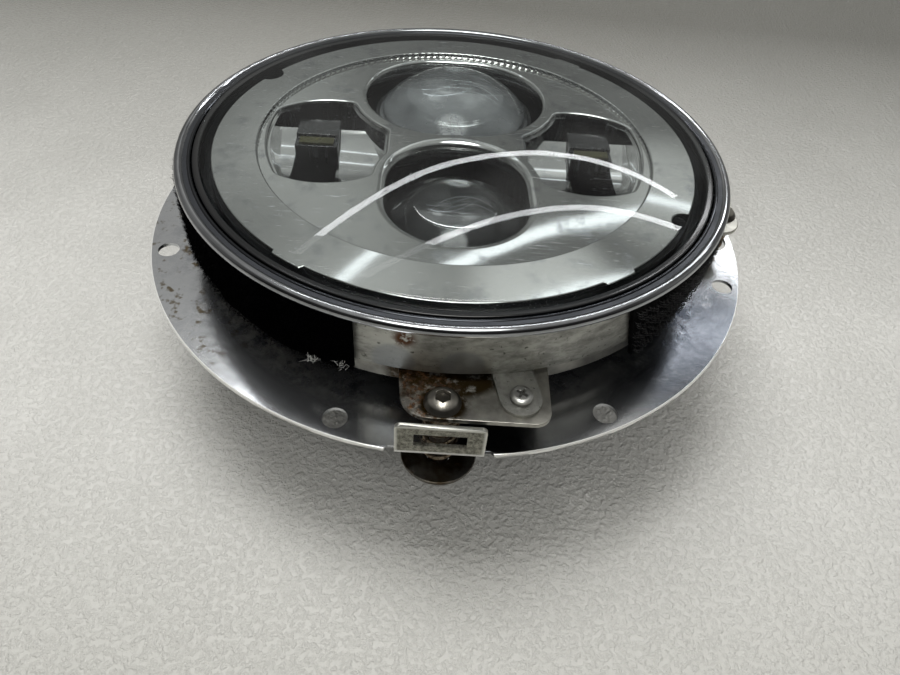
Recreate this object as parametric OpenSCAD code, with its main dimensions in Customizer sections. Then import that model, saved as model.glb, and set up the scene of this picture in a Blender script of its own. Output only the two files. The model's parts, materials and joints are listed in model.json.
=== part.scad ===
// Round motorcycle headlight: an LED lamp unit held in its retaining ring and carrier ring,
// aimed by two sprung screws and a ball pivot on a round mounting plate.
// Millimetres. The origin is the centre of the heat sink's flat back, +Z comes out of the lens,
// and the lamp's top is towards -Y.

/* [Mounting plate] */
// Height of the plate's underside over the lamp's flat back
plate_z = 42; // [38:0.5:44]
// Thickness of the plate
plate_t = 1.2; // [1:0.1:1.5]
// Gap from the housing to the plate, which the lamp needs when it is aimed
plate_gap = 4.1; // [3.5:0.1:4.5]
// Width of the plate outside the circle of its fixing holes
plate_edge = 6; // [5:0.1:8]
// Radius of the plate's fixing holes
plate_hole_r = 3.6; // [3:0.1:4]
// Distance from the stations' circle out to the fixing holes' circle
hole_offset = 2.5; // [1:0.1:3.5]
// Width of the slotted catch for the trim ring
catch_w = 24.4; // [22:0.2:26]
// Height of the slotted catch over the plate
catch_h = 12; // [10:0.5:12.5]
// Width of the slot in the catch
catch_slot_w = 14.3; // [12:0.1:15]
// Height of the slot in the catch
catch_slot_h = 5; // [4.5:0.1:5.5]

/* [Stations] */
// Distance from the retaining ring's band out to the two adjusters and the pivot
station_gap = 9; // [8.5:0.1:10]
// Height from the plate's top to the top of the carrier's tabs
tab_rise = 12.3; // [11.8:0.1:14]
// Thickness of the carrier ring's sheet
carrier_t = 1.5; // [1.2:0.1:1.8]
// Depth of the lugs' feet under the plate's top
lug_drop = 10; // [9:0.5:12]
// Thickness of the lugs' sheet
lug_t = 1.2; // [1:0.1:1.5]
// Radius of the round end of each lug's foot
lug_foot_r = 11; // [10:0.5:11.5]
// Radius of the adjuster screws' thread
adjuster_r = 3; // [2.5:0.25:3]
// Radius of the adjuster screws' round heads
adjuster_head_r = 5.2; // [5:0.1:5.5]
// Diameter of the spring wire
spring_wire = 1.3; // [1:0.1:1.4]
// Turns of each spring
spring_turns = 6; // [5:1:7]
// Radius of the pivot ball
ball_r = 5; // [4.5:0.1:5.2]

/* [Retaining ring] */
// Distance that the ring's rolled bead stands out over the band
bead_over = 3; // [2.6:0.1:3.6]
// Gap from the cover lens to the inside of the band, which the seal fills
seal_gap = 3.8; // [3.4:0.1:4.4]
// Thickness of the ring's sheet
ring_t = 1.2; // [1:0.1:1.3]
// Height of the band from its lower edge to the bead's middle
band_h = 17.9; // [17:0.1:19]
// Width of the ears that hold the ring to the carrier
ear_w = 11.6; // [10:0.1:12]

/* [Lamp] */
// Thickness of the cover lens
lens_t = 2.5; // [2:0.1:2.8]
// Rise of the cover lens from its edge to its middle
lens_rise = 9; // [8:0.5:12]
// Width of the bezel's flat mirror ring
mirror_w = 14.6; // [13:0.1:17]
// Radius of the low-beam opening's round ends, away from the lamp's top
low_open_r = 29.6; // [27:0.1:33]
// Radius of the high-beam opening's round ends
high_open_r = 25; // [22:0.1:27]
// Radius of the side openings' near and far arcs
side_open_r = 27; // [25:0.1:29]
// Half the width of the side openings
side_half_w = 21; // [18:0.1:23]
// Width of the gap between the low-beam opening and its projector lens
low_lens_gap = 2.1; // [2:0.1:4]
// Width of the gap between the high-beam opening and its projector lens
high_lens_gap = 3.5; // [2.8:0.1:5]
// Angle that the optical unit is turned by in its ring
unit_turn = 4; // [-6:0.5:6]
// Rise of the low-beam projector lens
low_lens_rise = 12.4; // [10:0.1:14]
// Rise of the high-beam projector lens
high_lens_rise = 8; // [6:0.1:10]
// Distance from the cover lens's edge in to the housing's wall
housing_step = 8.6; // [8:0.1:10]
// Wall thickness of the housing
housing_wall = 3; // [2.5:0.1:4]
// Height of the heat sink's fins
fin_h = 18; // [14:1:20]
// Number of cooling fins
fin_count = 32; // [24:2:36]
// Thickness of a fin
fin_t = 2; // [1.5:0.1:2.4]

/* [Straps] */
// Thickness of the two hook-and-loop straps
strap_t = 3.2; // [1.5:0.1:3.4]

/* [Hidden] */
$fn = 96;

// Clearances
running = 0.06;
seat = 0.1;
loose = 0.35;
lean = 0.6;

// Webs of the bezel's panel: between the openings, and from the openings to the mirror ring; the
// side openings tuck in beside the high-beam opening's round end
row_web = 2;
low_web = 3.4;
high_web = 8.8;
side_low_web = 3.5;
side_high_web = 2;
side_web = 1.7;
side_tuck = 1.7;

// Straight stretches of the two slots, along X and along Y, and the side openings' place along Y
low_stretch = 4.9;
high_stretch = 5.3;
side_y = -1.5;

// The panel is as wide as its taller row needs, and each ring outside it follows from the one
// within: mirror ring, cover lens, band, stations, fixing holes, plate
row_in_r = low_open_r + high_open_r + high_stretch + (row_web + low_web + high_web) / 2;
side_x = high_open_r + side_half_w - side_tuck;
bezel_in_r = max(row_in_r, side_x + side_half_w + side_web);
low_y = bezel_in_r - low_web - low_open_r;
high_y = high_web + high_open_r + high_stretch - bezel_in_r;
rim_r = bezel_in_r + mirror_w;
lens_r = rim_r + 3.4;
band_in = lens_r + seal_gap;
band_r = band_in + ring_t;
bead_r = band_r + bead_over;
station_r = band_r + station_gap;
plate_hole_circle_r = station_r + hole_offset;
plate_r = plate_hole_circle_r + plate_edge;
housing_r = lens_r - housing_step;
plate_in_r = housing_r + plate_gap;
low_lens_r = low_open_r - low_lens_gap;
high_lens_r = high_open_r - high_lens_gap;

// Heights, from the flat back upwards
plate_top = plate_z + plate_t;
tab_top = plate_top + tab_rise;
tab_bottom = tab_top - carrier_t;
foot_top = plate_top - lug_drop;
foot_bottom = foot_top - lug_t;
pivot_z = foot_bottom - 2;
sink_top = fin_h + 6;
flange_bottom = tab_top + 3.6;
band_bottom = tab_top + 1.5;
bead_z = band_bottom + band_h;
seal_flange_z = bead_z - 1.3;
channel_floor = seal_flange_z - 5.5;
ledge_z = seal_flange_z - 1.5;
bezel_z = bead_z + 1.7;
bezel_t = 1.5;
panel_z = bezel_z - bezel_t;
lens_edge_z = bezel_z + 2.8;
lens_top = lens_edge_z + lens_rise;

// Station angles, and the angle from a station to its ring screw
top_angle = -88;
side_angle = 0;
pivot_angle = 136;
station_angles = [top_angle, side_angle, pivot_angle];
ear_turn = 12.2;
ear_screw_r = 1.9;
window_r = 6;

// Fixing holes: the seen ones, then the same spacing carried round
hole_angles = [-161, -105, -60, -15, 30, 75, 120, 160];

function arc_points(x, y, r, from, to, steps) =
    [for (i = [0:steps]) let (a = from + (to - from) * i / steps) [x + r * cos(a), y + r * sin(a)]];

// Radius of the sphere whose cap rises by rise over the radius r
function cap_radius(r, rise) = (r * r + rise * rise) / (2 * rise);

// A slot that runs along Y, with round ends
module slot(r, stretch) {
    translate([0, stretch]) circle(r = r);
    translate([0, -stretch]) circle(r = r);
    square([2 * r, 2 * stretch], center = true);
}

module tube(outer, inner, from, to) {
    translate([0, 0, from]) difference() {
        cylinder(r = outer, h = to - from);
        translate([0, 0, -1]) cylinder(r = inner, h = to - from + 2);
    }
}

// A six-sided bar across the flats af, with a round bore
module hex_nut(af, bore, from, to) {
    translate([0, 0, from]) difference() {
        cylinder(d = af / cos(30), h = to - from, $fn = 6);
        translate([0, 0, -1]) cylinder(r = bore, h = to - from + 2);
    }
}

// Turns a piece drawn on +X to each of the given angles
module at_angles(angles) {
    for (a = angles) rotate([0, 0, a]) children();
}

module at_station(angle) {
    rotate([0, 0, angle]) translate([station_r, 0, 0]) children();
}

// Lamp front

module cover_lens() {
    outer_r = cap_radius(lens_r, lens_rise);
    inner_r = outer_r - lens_t;
    centre_z = lens_top - outer_r;
    skirt_in = lens_r - 1.7;
    outer_half = asin(lens_r / outer_r);
    inner_half = asin(skirt_in / inner_r);
    skirt_bottom = channel_floor + 1;
    color([0.86, 0.92, 0.95, 0.4])
    rotate_extrude()
    polygon(concat(
        arc_points(0, centre_z, outer_r, 90, 90 - outer_half, 24),
        [[lens_r, skirt_bottom], [skirt_in, skirt_bottom]],
        arc_points(0, centre_z, inner_r, 90 - inner_half, 90, 24)));
}

module lens_seal() {
    collar_top = bead_z + 1.5;
    color([0.05, 0.05, 0.06])
    rotate_extrude() {
        translate([lens_r - 2.6, channel_floor]) square([3, 0.95]);
        translate([lens_r + 0.05, seal_flange_z]) square([band_in - 0.2 - lens_r - 0.05, 1.25]);
        translate([lens_r + 0.05, seal_flange_z]) square([2.3, collar_top - seal_flange_z]);
    }
}

// Turns the optical unit's pieces in the lamp
module in_unit() {
    rotate([0, 0, unit_turn]) children();
}

module low_opening(grow) {
    translate([0, low_y]) rotate(90) slot(low_open_r + grow, low_stretch);
}

module high_opening(grow) {
    translate([0, high_y]) slot(high_open_r + grow, high_stretch);
}

// Near and far arcs between a straight inner flank and an outer one that follows the mirror ring,
// cut back where the middle openings come near
module side_opening(side, grow) {
    flank = side_x - side_half_w - grow;
    flank_lift = 5;
    difference() {
        intersection() {
            translate([side * side_x, side_y]) circle(r = side_open_r + grow);
            translate([0, flank_lift]) circle(r = side_x + side_half_w + grow);
            translate([side > 0 ? flank : -flank - 100, -100]) square([100, 200]);
        }
        low_opening(side_low_web - grow);
        high_opening(side_high_web - grow);
    }
}

module bezel_openings(grow) {
    low_opening(grow);
    high_opening(grow);
    for (side = [-1, 1]) side_opening(side, grow);
}

// Chromed ring with a slightly sunk panel, four openings with walls, and a skirt
module bezel() {
    wall = 1.2;
    wall_depth = 6;
    tab_w = 10.4;
    tab_angles = [-121.5, -52.5, 58.5];
    notch_angles = [-26.5, 153.5];
    color([0.86, 0.87, 0.9])
    in_unit() difference() {
        union() {
            tube(rim_r, bezel_in_r, panel_z, bezel_z);
            tube(rim_r, rim_r - 1.5, ledge_z, bezel_z);
            at_angles([for (a = tab_angles) a - unit_turn])
                translate([rim_r - 1, -tab_w / 2, panel_z]) cube([2.2, tab_w, bezel_t]);
            translate([0, 0, panel_z - bezel_t]) cylinder(r = bezel_in_r + 1.2, h = bezel_t);
            intersection() {
                translate([0, 0, panel_z - wall_depth]) linear_extrude(wall_depth) bezel_openings(wall);
                translate([0, 0, panel_z - wall_depth]) cylinder(r = bezel_in_r + 1.2, h = wall_depth);
            }
        }
        translate([0, 0, panel_z - wall_depth - 1]) linear_extrude(wall_depth + 4) bezel_openings(0);
        at_angles([for (a = notch_angles) a - unit_turn])
            translate([rim_r + 1, 0, panel_z - 4]) cylinder(r = 5, h = 12);
    }
}

// Projector lens: a rim, a short barrel and a dome
module projector_lens(r, base_z, rise) {
    rim_h = 4;
    dome_r = cap_radius(r, rise);
    half = asin(r / dome_r);
    rotate_extrude()
    polygon(concat(
        [[0, base_z], [r + 1.2, base_z], [r + 1.2, base_z + rim_h / 2], [r, base_z + rim_h / 2]],
        arc_points(0, base_z + rim_h + rise - dome_r, dome_r, 90 - half, 90, 20)));
}

// Tube that carries a projector lens over its reflector
module projector_barrel(r, from, lens_base) {
    difference() {
        translate([0, 0, from]) cylinder(r = r + 2.8, h = lens_base + 1.9 - from);
        translate([0, 0, from - 1]) cylinder(r = r - 0.8, h = lens_base - from + 2);
        translate([0, 0, lens_base]) cylinder(r = r + 1.2 + seat, h = 3);
        translate([0, 0, from - 1]) cylinder(r = r + 1.2, h = lens_base - from - 3);
    }
}

// Bowl that gathers the light of one LED board
module reflector_bowl(r, from, to) {
    throat = 8;
    skin = 1.2;
    rise = to - from;
    outer = [for (i = [0:12]) [throat + (r - throat) * sqrt(i / 12), from + rise * i / 12]];
    inner = [for (i = [12:-1:0]) [throat - skin + (r - throat) * sqrt(i / 12), from + rise * i / 12]];
    rotate_extrude() polygon(concat(outer, inner));
}

// Star board with its LED chip
module led_board(size, z) {
    board_t = 1.6;
    chip = 8;
    color([0.92, 0.93, 0.9]) translate([-size / 2, -size / 2, z]) cube([size, size, board_t]);
    color([0.95, 0.85, 0.3]) translate([-chip / 2, -chip / 2, z + board_t]) cube([chip, chip, 0.9]);
}

low_lens_sink = 9;
high_lens_sink = 14;
low_board = 30;
high_board = 26;
low_lens_base = panel_z - low_lens_sink;
high_lens_base = panel_z - high_lens_sink;
board_z = sink_top + 4;
bowl_from = board_z + 3;

module low_beam_lens() {
    color([0.8, 0.86, 0.9, 0.5]) in_unit() translate([0, low_y, 0])
        projector_lens(low_lens_r, low_lens_base, low_lens_rise);
}

module low_beam_barrel() {
    color([0.08, 0.08, 0.09]) in_unit() translate([0, low_y, 0])
        projector_barrel(low_lens_r, board_z, low_lens_base);
}

module low_beam_reflector() {
    color([0.8, 0.82, 0.84]) in_unit() translate([0, low_y, 0])
        reflector_bowl(low_lens_r + 0.8, bowl_from, low_lens_base - 5);
}

// Thin screen with a stepped edge that makes the low beam's cut-off
module cutoff_shield() {
    r = low_lens_r + 0.8;
    color([0.15, 0.15, 0.16]) in_unit() translate([0, low_y, low_lens_base - 4.8]) linear_extrude(0.8)
    difference() {
        circle(r = r);
        polygon([[-r, -1], [-3, -1], [3, 2], [r, 2], [r, r], [-r, r]]);
    }
}

module low_beam_led_board() {
    in_unit() translate([0, low_y, 0]) led_board(low_board, board_z);
}

module high_beam_lens() {
    color([0.8, 0.86, 0.9, 0.5]) in_unit() translate([0, high_y, 0])
        projector_lens(high_lens_r, high_lens_base, high_lens_rise);
}

module high_beam_barrel() {
    color([0.08, 0.08, 0.09]) in_unit() translate([0, high_y, 0])
        projector_barrel(high_lens_r, board_z, high_lens_base);
}

module high_beam_reflector() {
    color([0.8, 0.82, 0.84]) in_unit() translate([0, high_y, 0])
        reflector_bowl(high_lens_r + 0.8, bowl_from, high_lens_base - 5);
}

module high_beam_led_board() {
    in_unit() translate([0, high_y, 0]) led_board(high_board, board_z);
}

// Side bowls: two mirror wings that are one concave trough along X, a channel between them for the
// post, and a dark pocket behind them
side_bowl_top = panel_z - bezel_t - 0.1;
side_depth = 20;
side_floor = side_bowl_top - side_depth;
trough_r = 38;
trough_sink = 9.1;
trough_back = 4;
wing_length = 19.2;
post_x = side_x + 4.7;
post_w = 15;
post_from = side_y + 3.5;
post_back_web = 7.5;
post_to = side_y + side_open_r - post_back_web;
post_top = side_bowl_top - 2.5;
ledge_drop = 1.5;
ledge_w = 5.5;
led_w = 12;
led_d = 4;

module side_reflector(side) {
    skin = 1.4;
    trough_y = side_y - trough_back;
    color([0.82, 0.84, 0.87])
    in_unit() difference() {
        translate([0, 0, side_floor - 2]) linear_extrude(side_depth + 2) side_opening(side, -0.2);
        intersection() {
            translate([0, 0, side_floor]) linear_extrude(side_depth + 1) side_opening(side, -skin);
            union() {
                translate([0, trough_y, side_bowl_top - trough_sink + trough_r]) rotate([0, 90, 0])
                    cylinder(r = trough_r, h = 200, center = true, $fn = 192);
                translate([-100, trough_y + wing_length, side_floor]) cube([200, 60, side_depth + 1]);
                translate([side * post_x - post_w / 2 - seat, side_y - side_open_r, side_floor])
                    cube([post_w + 2 * seat, side_open_r, side_depth + 1]);
            }
        }
        translate([side * post_x - post_w / 2 - seat, post_from - seat, side_floor - 3])
            cube([post_w + 2 * seat, post_to - post_from + 2 * seat, side_depth + 4]);
    }
}

module left_reflector() { side_reflector(-1); }
module right_reflector() { side_reflector(1); }

// Post that stands through the side bowl, with a ledge for its LED
module side_post(side) {
    color([0.1, 0.1, 0.11])
    in_unit() translate([side * post_x, 0, 0])
    difference() {
        translate([-post_w / 2, post_from, board_z]) cube([post_w, post_to - post_from, post_top - board_z]);
        translate([-post_w / 2 - 1, post_from - 1, post_top - ledge_drop])
            cube([post_w + 2, ledge_w + 1, ledge_drop + 1]);
    }
}

module left_led_post() { side_post(-1); }
module right_led_post() { side_post(1); }

module side_led(side) {
    color([0.9, 0.82, 0.25])
    in_unit() translate([side * post_x - led_w / 2, post_from + 0.8, post_top - ledge_drop])
        cube([led_w, led_d, 0.8]);
}

module left_led() { side_led(-1); }
module right_led() { side_led(1); }

// Circuit board under the left bowl, on two spacers, with its coil and capacitors
module driver_board() {
    board = [7, 34, 1.6];
    spacer_h = 2;
    pitch = 8;
    first_y = post_from - 33;
    in_unit() translate([-side_x, first_y, board_z]) {
        color([0.05, 0.3, 0.15]) translate([-board.x / 2, -4, spacer_h]) cube(board);
        color([0.7, 0.5, 0.2]) translate([0, 0, spacer_h + board.z]) cylinder(r = 3.2, h = 5);
        color([0.2, 0.2, 0.25]) for (i = [1:3])
            translate([0, i * pitch, spacer_h + board.z]) cylinder(r = 2.5, h = 7);
        color([0.6, 0.6, 0.6]) for (y = [-2, 28]) translate([0, y, 0]) cylinder(r = 1.5, h = spacer_h);
    }
}

// Lamp body

// Radii of the heat sink's base, of the pad inside the housing's foot, and of the screws between
sink_base_r = housing_r - 6.4;
pad_r = sink_base_r - 10;
sink_screw_circle_r = pad_r + 6;
sink_screw_r = 2.05;
sink_screw_angles = [0:60:300];
gasket_t = 0.6;

// Bucket with a stepped mouth for the bezel, the lens skirt and the seal
module lamp_housing() {
    inner_r = housing_r - housing_wall;
    lip_out = band_in - 2;
    foot_in = pad_r + 0.3;
    foot_z = sink_top + gasket_t;
    knee_z = sink_top + 8;
    color([0.16, 0.16, 0.17])
    difference() {
        rotate_extrude() polygon([
            [foot_in, foot_z], [sink_base_r, foot_z], [housing_r - 0.6, knee_z],
            [housing_r, flange_bottom], [lip_out, flange_bottom],
            [lip_out, seal_flange_z], [lens_r + 0.5, seal_flange_z], [lens_r + 0.5, channel_floor],
            [lens_r - 2.7, channel_floor], [lens_r - 2.7, ledge_z], [inner_r, ledge_z],
            [inner_r - 0.6, knee_z + housing_wall], [sink_base_r - housing_wall, board_z],
            [foot_in, board_z]
        ]);
        at_angles(sink_screw_angles) translate([sink_screw_circle_r, 0, sink_top])
            cylinder(r = sink_screw_r + running, h = board_z - sink_top - 0.6);
    }
}

gland_z = fin_h / 2 + 0.5;
gland_in = 40;
gland_out = sink_base_r - 6;
gland_bore_r = 5;
vent_r = 6;
vent_depth = 2.5;
vent_x = -12;

// Finned aluminium back: hub, base, pad for the boards, and a boss for the cable gland
module heat_sink() {
    hub_r = 21;
    fin_out = pad_r + 1.5;
    boss_r = gland_bore_r + 2.5;
    color([0.2, 0.2, 0.21])
    difference() {
        union() {
            cylinder(r = hub_r, h = fin_h + 1);
            translate([0, 0, fin_h]) cylinder(r = sink_base_r, h = sink_top - fin_h);
            translate([0, 0, sink_top - 0.5]) cylinder(r = pad_r, h = board_z - sink_top + 0.5);
            for (i = [0:fin_count - 1]) rotate([0, 0, (i + 0.5) * 360 / fin_count])
                translate([hub_r - 1, -fin_t / 2, 0]) cube([fin_out - hub_r + 1, fin_t, fin_h + 1]);
            translate([0, 0, gland_z]) rotate([-90, 0, 0]) cylinder(r = boss_r, h = gland_out);
        }
        translate([0, gland_in, gland_z]) rotate([-90, 0, 0]) cylinder(r = gland_bore_r, h = 40);
        translate([vent_x, 0, -1]) cylinder(r = vent_r, h = vent_depth + 1);
        at_angles(sink_screw_angles) translate([sink_screw_circle_r, 0, fin_h - 1])
            cylinder(r = sink_screw_r + 0.15, h = 12);
    }
}

module heat_sink_gasket() {
    color([0.08, 0.08, 0.08])
    difference() {
        tube(sink_base_r - 0.5, pad_r + 2.5, sink_top, sink_top + gasket_t);
        at_angles(sink_screw_angles) translate([sink_screw_circle_r, 0, sink_top - 1])
            cylinder(r = sink_screw_r + loose, h = 3);
    }
}

// Cap screws whose heads lie behind the base
module heat_sink_screws() {
    head_r = 3.3;
    head_h = 3;
    socket_af = 3;
    color([0.5, 0.5, 0.52])
    at_angles(sink_screw_angles) translate([sink_screw_circle_r, 0, 0]) difference() {
        union() {
            translate([0, 0, fin_h - head_h]) cylinder(r = head_r, h = head_h);
            translate([0, 0, fin_h - 1]) cylinder(r = sink_screw_r, h = board_z - fin_h);
        }
        translate([0, 0, fin_h - head_h - 1]) cylinder(d = socket_af / cos(30), h = 2.6, $fn = 6);
    }
}

// Rubber gland in the boss, left empty where the cable comes out
module cable_gland() {
    color([0.06, 0.06, 0.06])
    translate([0, gland_in + 1, gland_z]) rotate([-90, 0, 0]) difference() {
        union() {
            cylinder(r = gland_bore_r - 0.05, h = gland_out - gland_in - 1);
            translate([0, 0, gland_out - gland_in - 1]) cylinder(r = gland_bore_r + 2, h = 2.5);
        }
        translate([0, 0, -1]) cylinder(r = gland_bore_r - 2.2, h = 40);
    }
}

module vent_plug() {
    sunk = 0.6;
    color([0.07, 0.07, 0.07])
    translate([vent_x, 0, sunk]) difference() {
        cylinder(r = vent_r - seat, h = vent_depth - sunk - 0.05);
        at_angles([0:120:240]) translate([vent_r / 2, 0, -1]) cylinder(r = 0.8, h = 1.8);
    }
}

// Retaining ring and its fixings

module retaining_ring() {
    roll_r = 1.6;
    lip_roll_r = 0.7;
    lip_in = lens_r + 2.6;
    color([0.72, 0.73, 0.74])
    difference() {
        union() {
            rotate_extrude() {
                translate([bead_r - roll_r, bead_z + 0.2]) circle(r = roll_r, $fn = 32);
                translate([lip_in + 0.5, bead_z]) square([bead_r - roll_r - lip_in - 0.5, ring_t]);
                translate([lip_in + lip_roll_r, bead_z + ring_t - 0.45]) circle(r = lip_roll_r, $fn = 24);
                translate([band_in, band_bottom]) square([ring_t, band_h + 0.6]);
            }
            at_angles([for (a = station_angles) a + ear_turn]) {
                intersection() {
                    tube(band_r - 0.1, band_in + 0.1, tab_top, band_bottom + 1);
                    translate([band_in - 2, -ear_w / 2, tab_top]) cube([6, ear_w, 10]);
                }
                translate([band_in + 0.3, -ear_w / 2, tab_top]) cube([station_r - band_in - 0.3, ear_w, ring_t]);
                translate([station_r, 0, tab_top]) cylinder(d = ear_w, h = ring_t);
            }
        }
        at_angles([for (a = station_angles) a + ear_turn])
            translate([station_r, 0, tab_top - 1]) cylinder(r = ear_screw_r + 0.2, h = 4);
    }
}

// Pan-head screw with a cross recess, standing on z = from
module pan_screw(r, head_r, from, to) {
    head_h = 2.2;
    difference() {
        union() {
            translate([0, 0, to]) cylinder(r = r, h = from - to + 0.5);
            translate([0, 0, from]) cylinder(r = head_r, h = head_h - 0.6);
            translate([0, 0, from + head_h - 0.6]) cylinder(r1 = head_r, r2 = head_r - 1, h = 0.6);
        }
        for (a = [45, 135]) rotate([0, 0, a]) translate([-head_r * 0.55, -0.45, from + 0.7])
            cube([head_r * 1.1, 0.9, head_h]);
    }
}

module ring_screws() {
    color([0.75, 0.75, 0.74])
    at_angles([for (a = station_angles) a + ear_turn]) translate([station_r, 0, 0])
        pan_screw(ear_screw_r, 3.1, tab_top + ring_t, tab_bottom - 2.8);
}

module ring_nuts() {
    color([0.6, 0.6, 0.58])
    at_angles([for (a = station_angles) a + ear_turn]) translate([station_r, 0, 0])
        hex_nut(6.6, ear_screw_r + running, tab_bottom - 2.4, tab_bottom);
}

// Outline of one tab, seen from above, with +X pointing out from the lamp
module tab_outline() {
    front = 5.4;
    left = -11.7;
    right = 29.2;
    left_corner = 8.5;
    right_corner = 4.5;
    inner = -station_gap - 6;
    polygon(concat(
        [[inner, left - 1], [front - left_corner - 4, left - 0.6]],
        arc_points(front - left_corner, left + left_corner, left_corner, -90, 0, 8),
        arc_points(front - right_corner, right - right_corner, right_corner, 0, 90, 8),
        [[inner, right]]));
}

module carrier_ring() {
    rim = band_in - 0.2;
    ring_in = housing_r + 2.8;
    lip_drop = 4.5;
    color([0.62, 0.62, 0.6])
    difference() {
        union() {
            rotate_extrude() {
                translate([ring_in, flange_bottom - carrier_t]) square([rim - ring_in, carrier_t]);
                translate([rim - ring_t, tab_top - lip_drop])
                    square([ring_t, flange_bottom - tab_top + lip_drop]);
            }
            difference() {
                for (a = station_angles) rotate([0, 0, a])
                    translate([station_r, 0, tab_bottom]) linear_extrude(carrier_t) tab_outline();
                translate([0, 0, tab_bottom - 1]) cylinder(r = rim - ring_t / 2, h = carrier_t + 2);
            }
        }
        for (a = station_angles) {
            at_station(a) translate([0, 0, tab_bottom - 1]) cylinder(r = adjuster_r + running, h = 4);
            at_station(a + ear_turn) translate([0, 0, tab_bottom - 1]) cylinder(r = ear_screw_r + running, h = 4);
        }
    }
}

// A stretch of strap stuck round the band, from one angle and height to another
module strap(from, to, low, high) {
    rotate([0, 0, from]) rotate_extrude(angle = to - from, $fn = 192)
        translate([band_r + 0.3, low]) square([strap_t, high - low]);
}

strap_high = bead_z - 1.7;

// A half space over a slanted line on the band, for cutting a strap's end or edge
module slanted_cut(angle, z, tilt) {
    reach = 130;
    rotate([0, 0, angle]) translate([0, 0, z]) rotate([tilt, 0, 0])
        translate([0, -reach, -reach]) cube([reach, 2 * reach, reach]);
}

// Fuzzy strap: square end near the lamp's top, pointed end at the left
module loop_strap() {
    low = tab_top - 1.5;
    color([0.06, 0.06, 0.06])
    difference() {
        strap(-171, -104, low, strap_high);
        slanted_cut(-160, low, -62);
    }
}

// Hook strap: slanted end near the lamp's top, tapering towards the side station
module hook_strap() {
    low = tab_top - 5;
    low_angle = -50.5;
    slant = 17;
    color([0.07, 0.07, 0.07])
    difference() {
        strap(-58, 2, low, strap_high);
        slanted_cut(low_angle, low, slant);
        slanted_cut(low_angle, low, slant - 90);
    }
}

// Mounting plate, lugs, adjusters and pivot

// Where the catch leaves the plate, and the radius inside its bend
catch_bend_in = 1;
catch_bend_r = plate_r - 0.2 - plate_t - catch_bend_in;

// The slotted catch, bent up out of the plate's rim
module catch() {
    top = plate_top + catch_h;
    slot_z = plate_top + catch_h / 2 + 0.2;
    corner = 1.5;
    rotate([0, 0, top_angle]) difference() {
        translate([0, catch_w / 2, 0]) rotate([90, 0, 0]) linear_extrude(catch_w) {
            intersection() {
                translate([catch_bend_r, plate_top + catch_bend_in]) difference() {
                    circle(r = catch_bend_in + plate_t);
                    circle(r = catch_bend_in);
                }
                translate([catch_bend_r, plate_z]) square([10, plate_t + catch_bend_in]);
            }
            translate([catch_bend_r + catch_bend_in, plate_top + catch_bend_in])
                square([plate_t, catch_h - catch_bend_in]);
            translate([catch_bend_r - 1, plate_z]) square([1.05, plate_t]);
        }
        translate([catch_bend_r - 1, -catch_slot_w / 2, slot_z - catch_slot_h / 2])
            cube([10, catch_slot_w, catch_slot_h]);
        for (side = [-1, 1])
            translate([catch_bend_r - 1, side * (catch_w / 2 - corner), top - corner]) difference() {
                translate([0, side > 0 ? 0 : -corner - 1, 0]) cube([10, corner + 1, corner + 1]);
                rotate([0, 90, 0]) cylinder(r = corner, h = 10, $fn = 32);
            }
    }
}

module mounting_plate() {
    notch_in = catch_w / 2 + 2;
    notch_out = catch_w / 2 + 5;
    color([0.55, 0.56, 0.6]) {
        translate([0, 0, plate_z]) linear_extrude(plate_t) difference() {
            circle(r = plate_r, $fn = 192);
            circle(r = plate_in_r, $fn = 192);
            for (a = hole_angles) rotate(a) translate([plate_hole_circle_r, 0]) circle(r = plate_hole_r);
            for (a = station_angles) rotate(a) translate([station_r, 0]) circle(r = window_r);
            rotate(top_angle) polygon([
                [catch_bend_r, -notch_in], [plate_r + 1, -notch_out],
                [plate_r + 1, notch_out], [catch_bend_r, notch_in]]);
        }
        catch();
    }
}

liner_r = ball_r + 3;

// Z-shaped bracket under the plate whose half-round foot carries a nut or the pivot socket
module lug(angle, bore) {
    flange_in = plate_in_r + 1;
    riser_in = flange_in + 4.5;
    flange_w = 38;
    foot_w = 2 * lug_foot_r;
    color([0.42, 0.42, 0.4])
    difference() {
        rotate([0, 0, angle]) {
            translate([flange_in, -flange_w / 2, plate_z - lug_t])
                cube([riser_in + lug_t - flange_in, flange_w, lug_t]);
            translate([riser_in, -foot_w / 2, foot_bottom]) cube([lug_t, foot_w, plate_z - foot_bottom]);
            translate([riser_in, -foot_w / 2, foot_bottom]) cube([station_r - riser_in, foot_w, lug_t]);
            translate([station_r, 0, foot_bottom]) cylinder(r = lug_foot_r, h = lug_t);
        }
        at_station(angle) translate([0, 0, foot_bottom - 1]) cylinder(r = bore, h = lug_t + 2);
    }
}

module top_lug() { lug(top_angle, adjuster_r + 1.2); }
module side_lug() { lug(side_angle, adjuster_r + 1.2); }
module pivot_lug() { lug(pivot_angle, liner_r + seat); }

// Button-head screw with a hexagon socket; its thread ends under the nut
module adjuster_screw(angle) {
    head_h = 3.3;
    socket_af = 4;
    dome_r = cap_radius(adjuster_head_r, head_h);
    half = asin(adjuster_head_r / dome_r);
    color([0.5, 0.47, 0.42])
    at_station(angle) difference() {
        union() {
            translate([0, 0, tab_top + seat]) rotate_extrude() polygon(concat(
                [[0, 0]], arc_points(0, head_h - dome_r, dome_r, 90 - half, 90, 10)));
            translate([0, 0, foot_bottom - 8]) cylinder(r = adjuster_r, h = tab_top + 0.5 - foot_bottom + 8);
        }
        translate([0, 0, tab_top + head_h - 1.9]) cylinder(d = socket_af / cos(30), h = 4, $fn = 6);
    }
}

module top_adjuster_screw() { adjuster_screw(top_angle); }
module side_adjuster_screw() { adjuster_screw(side_angle); }

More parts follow.
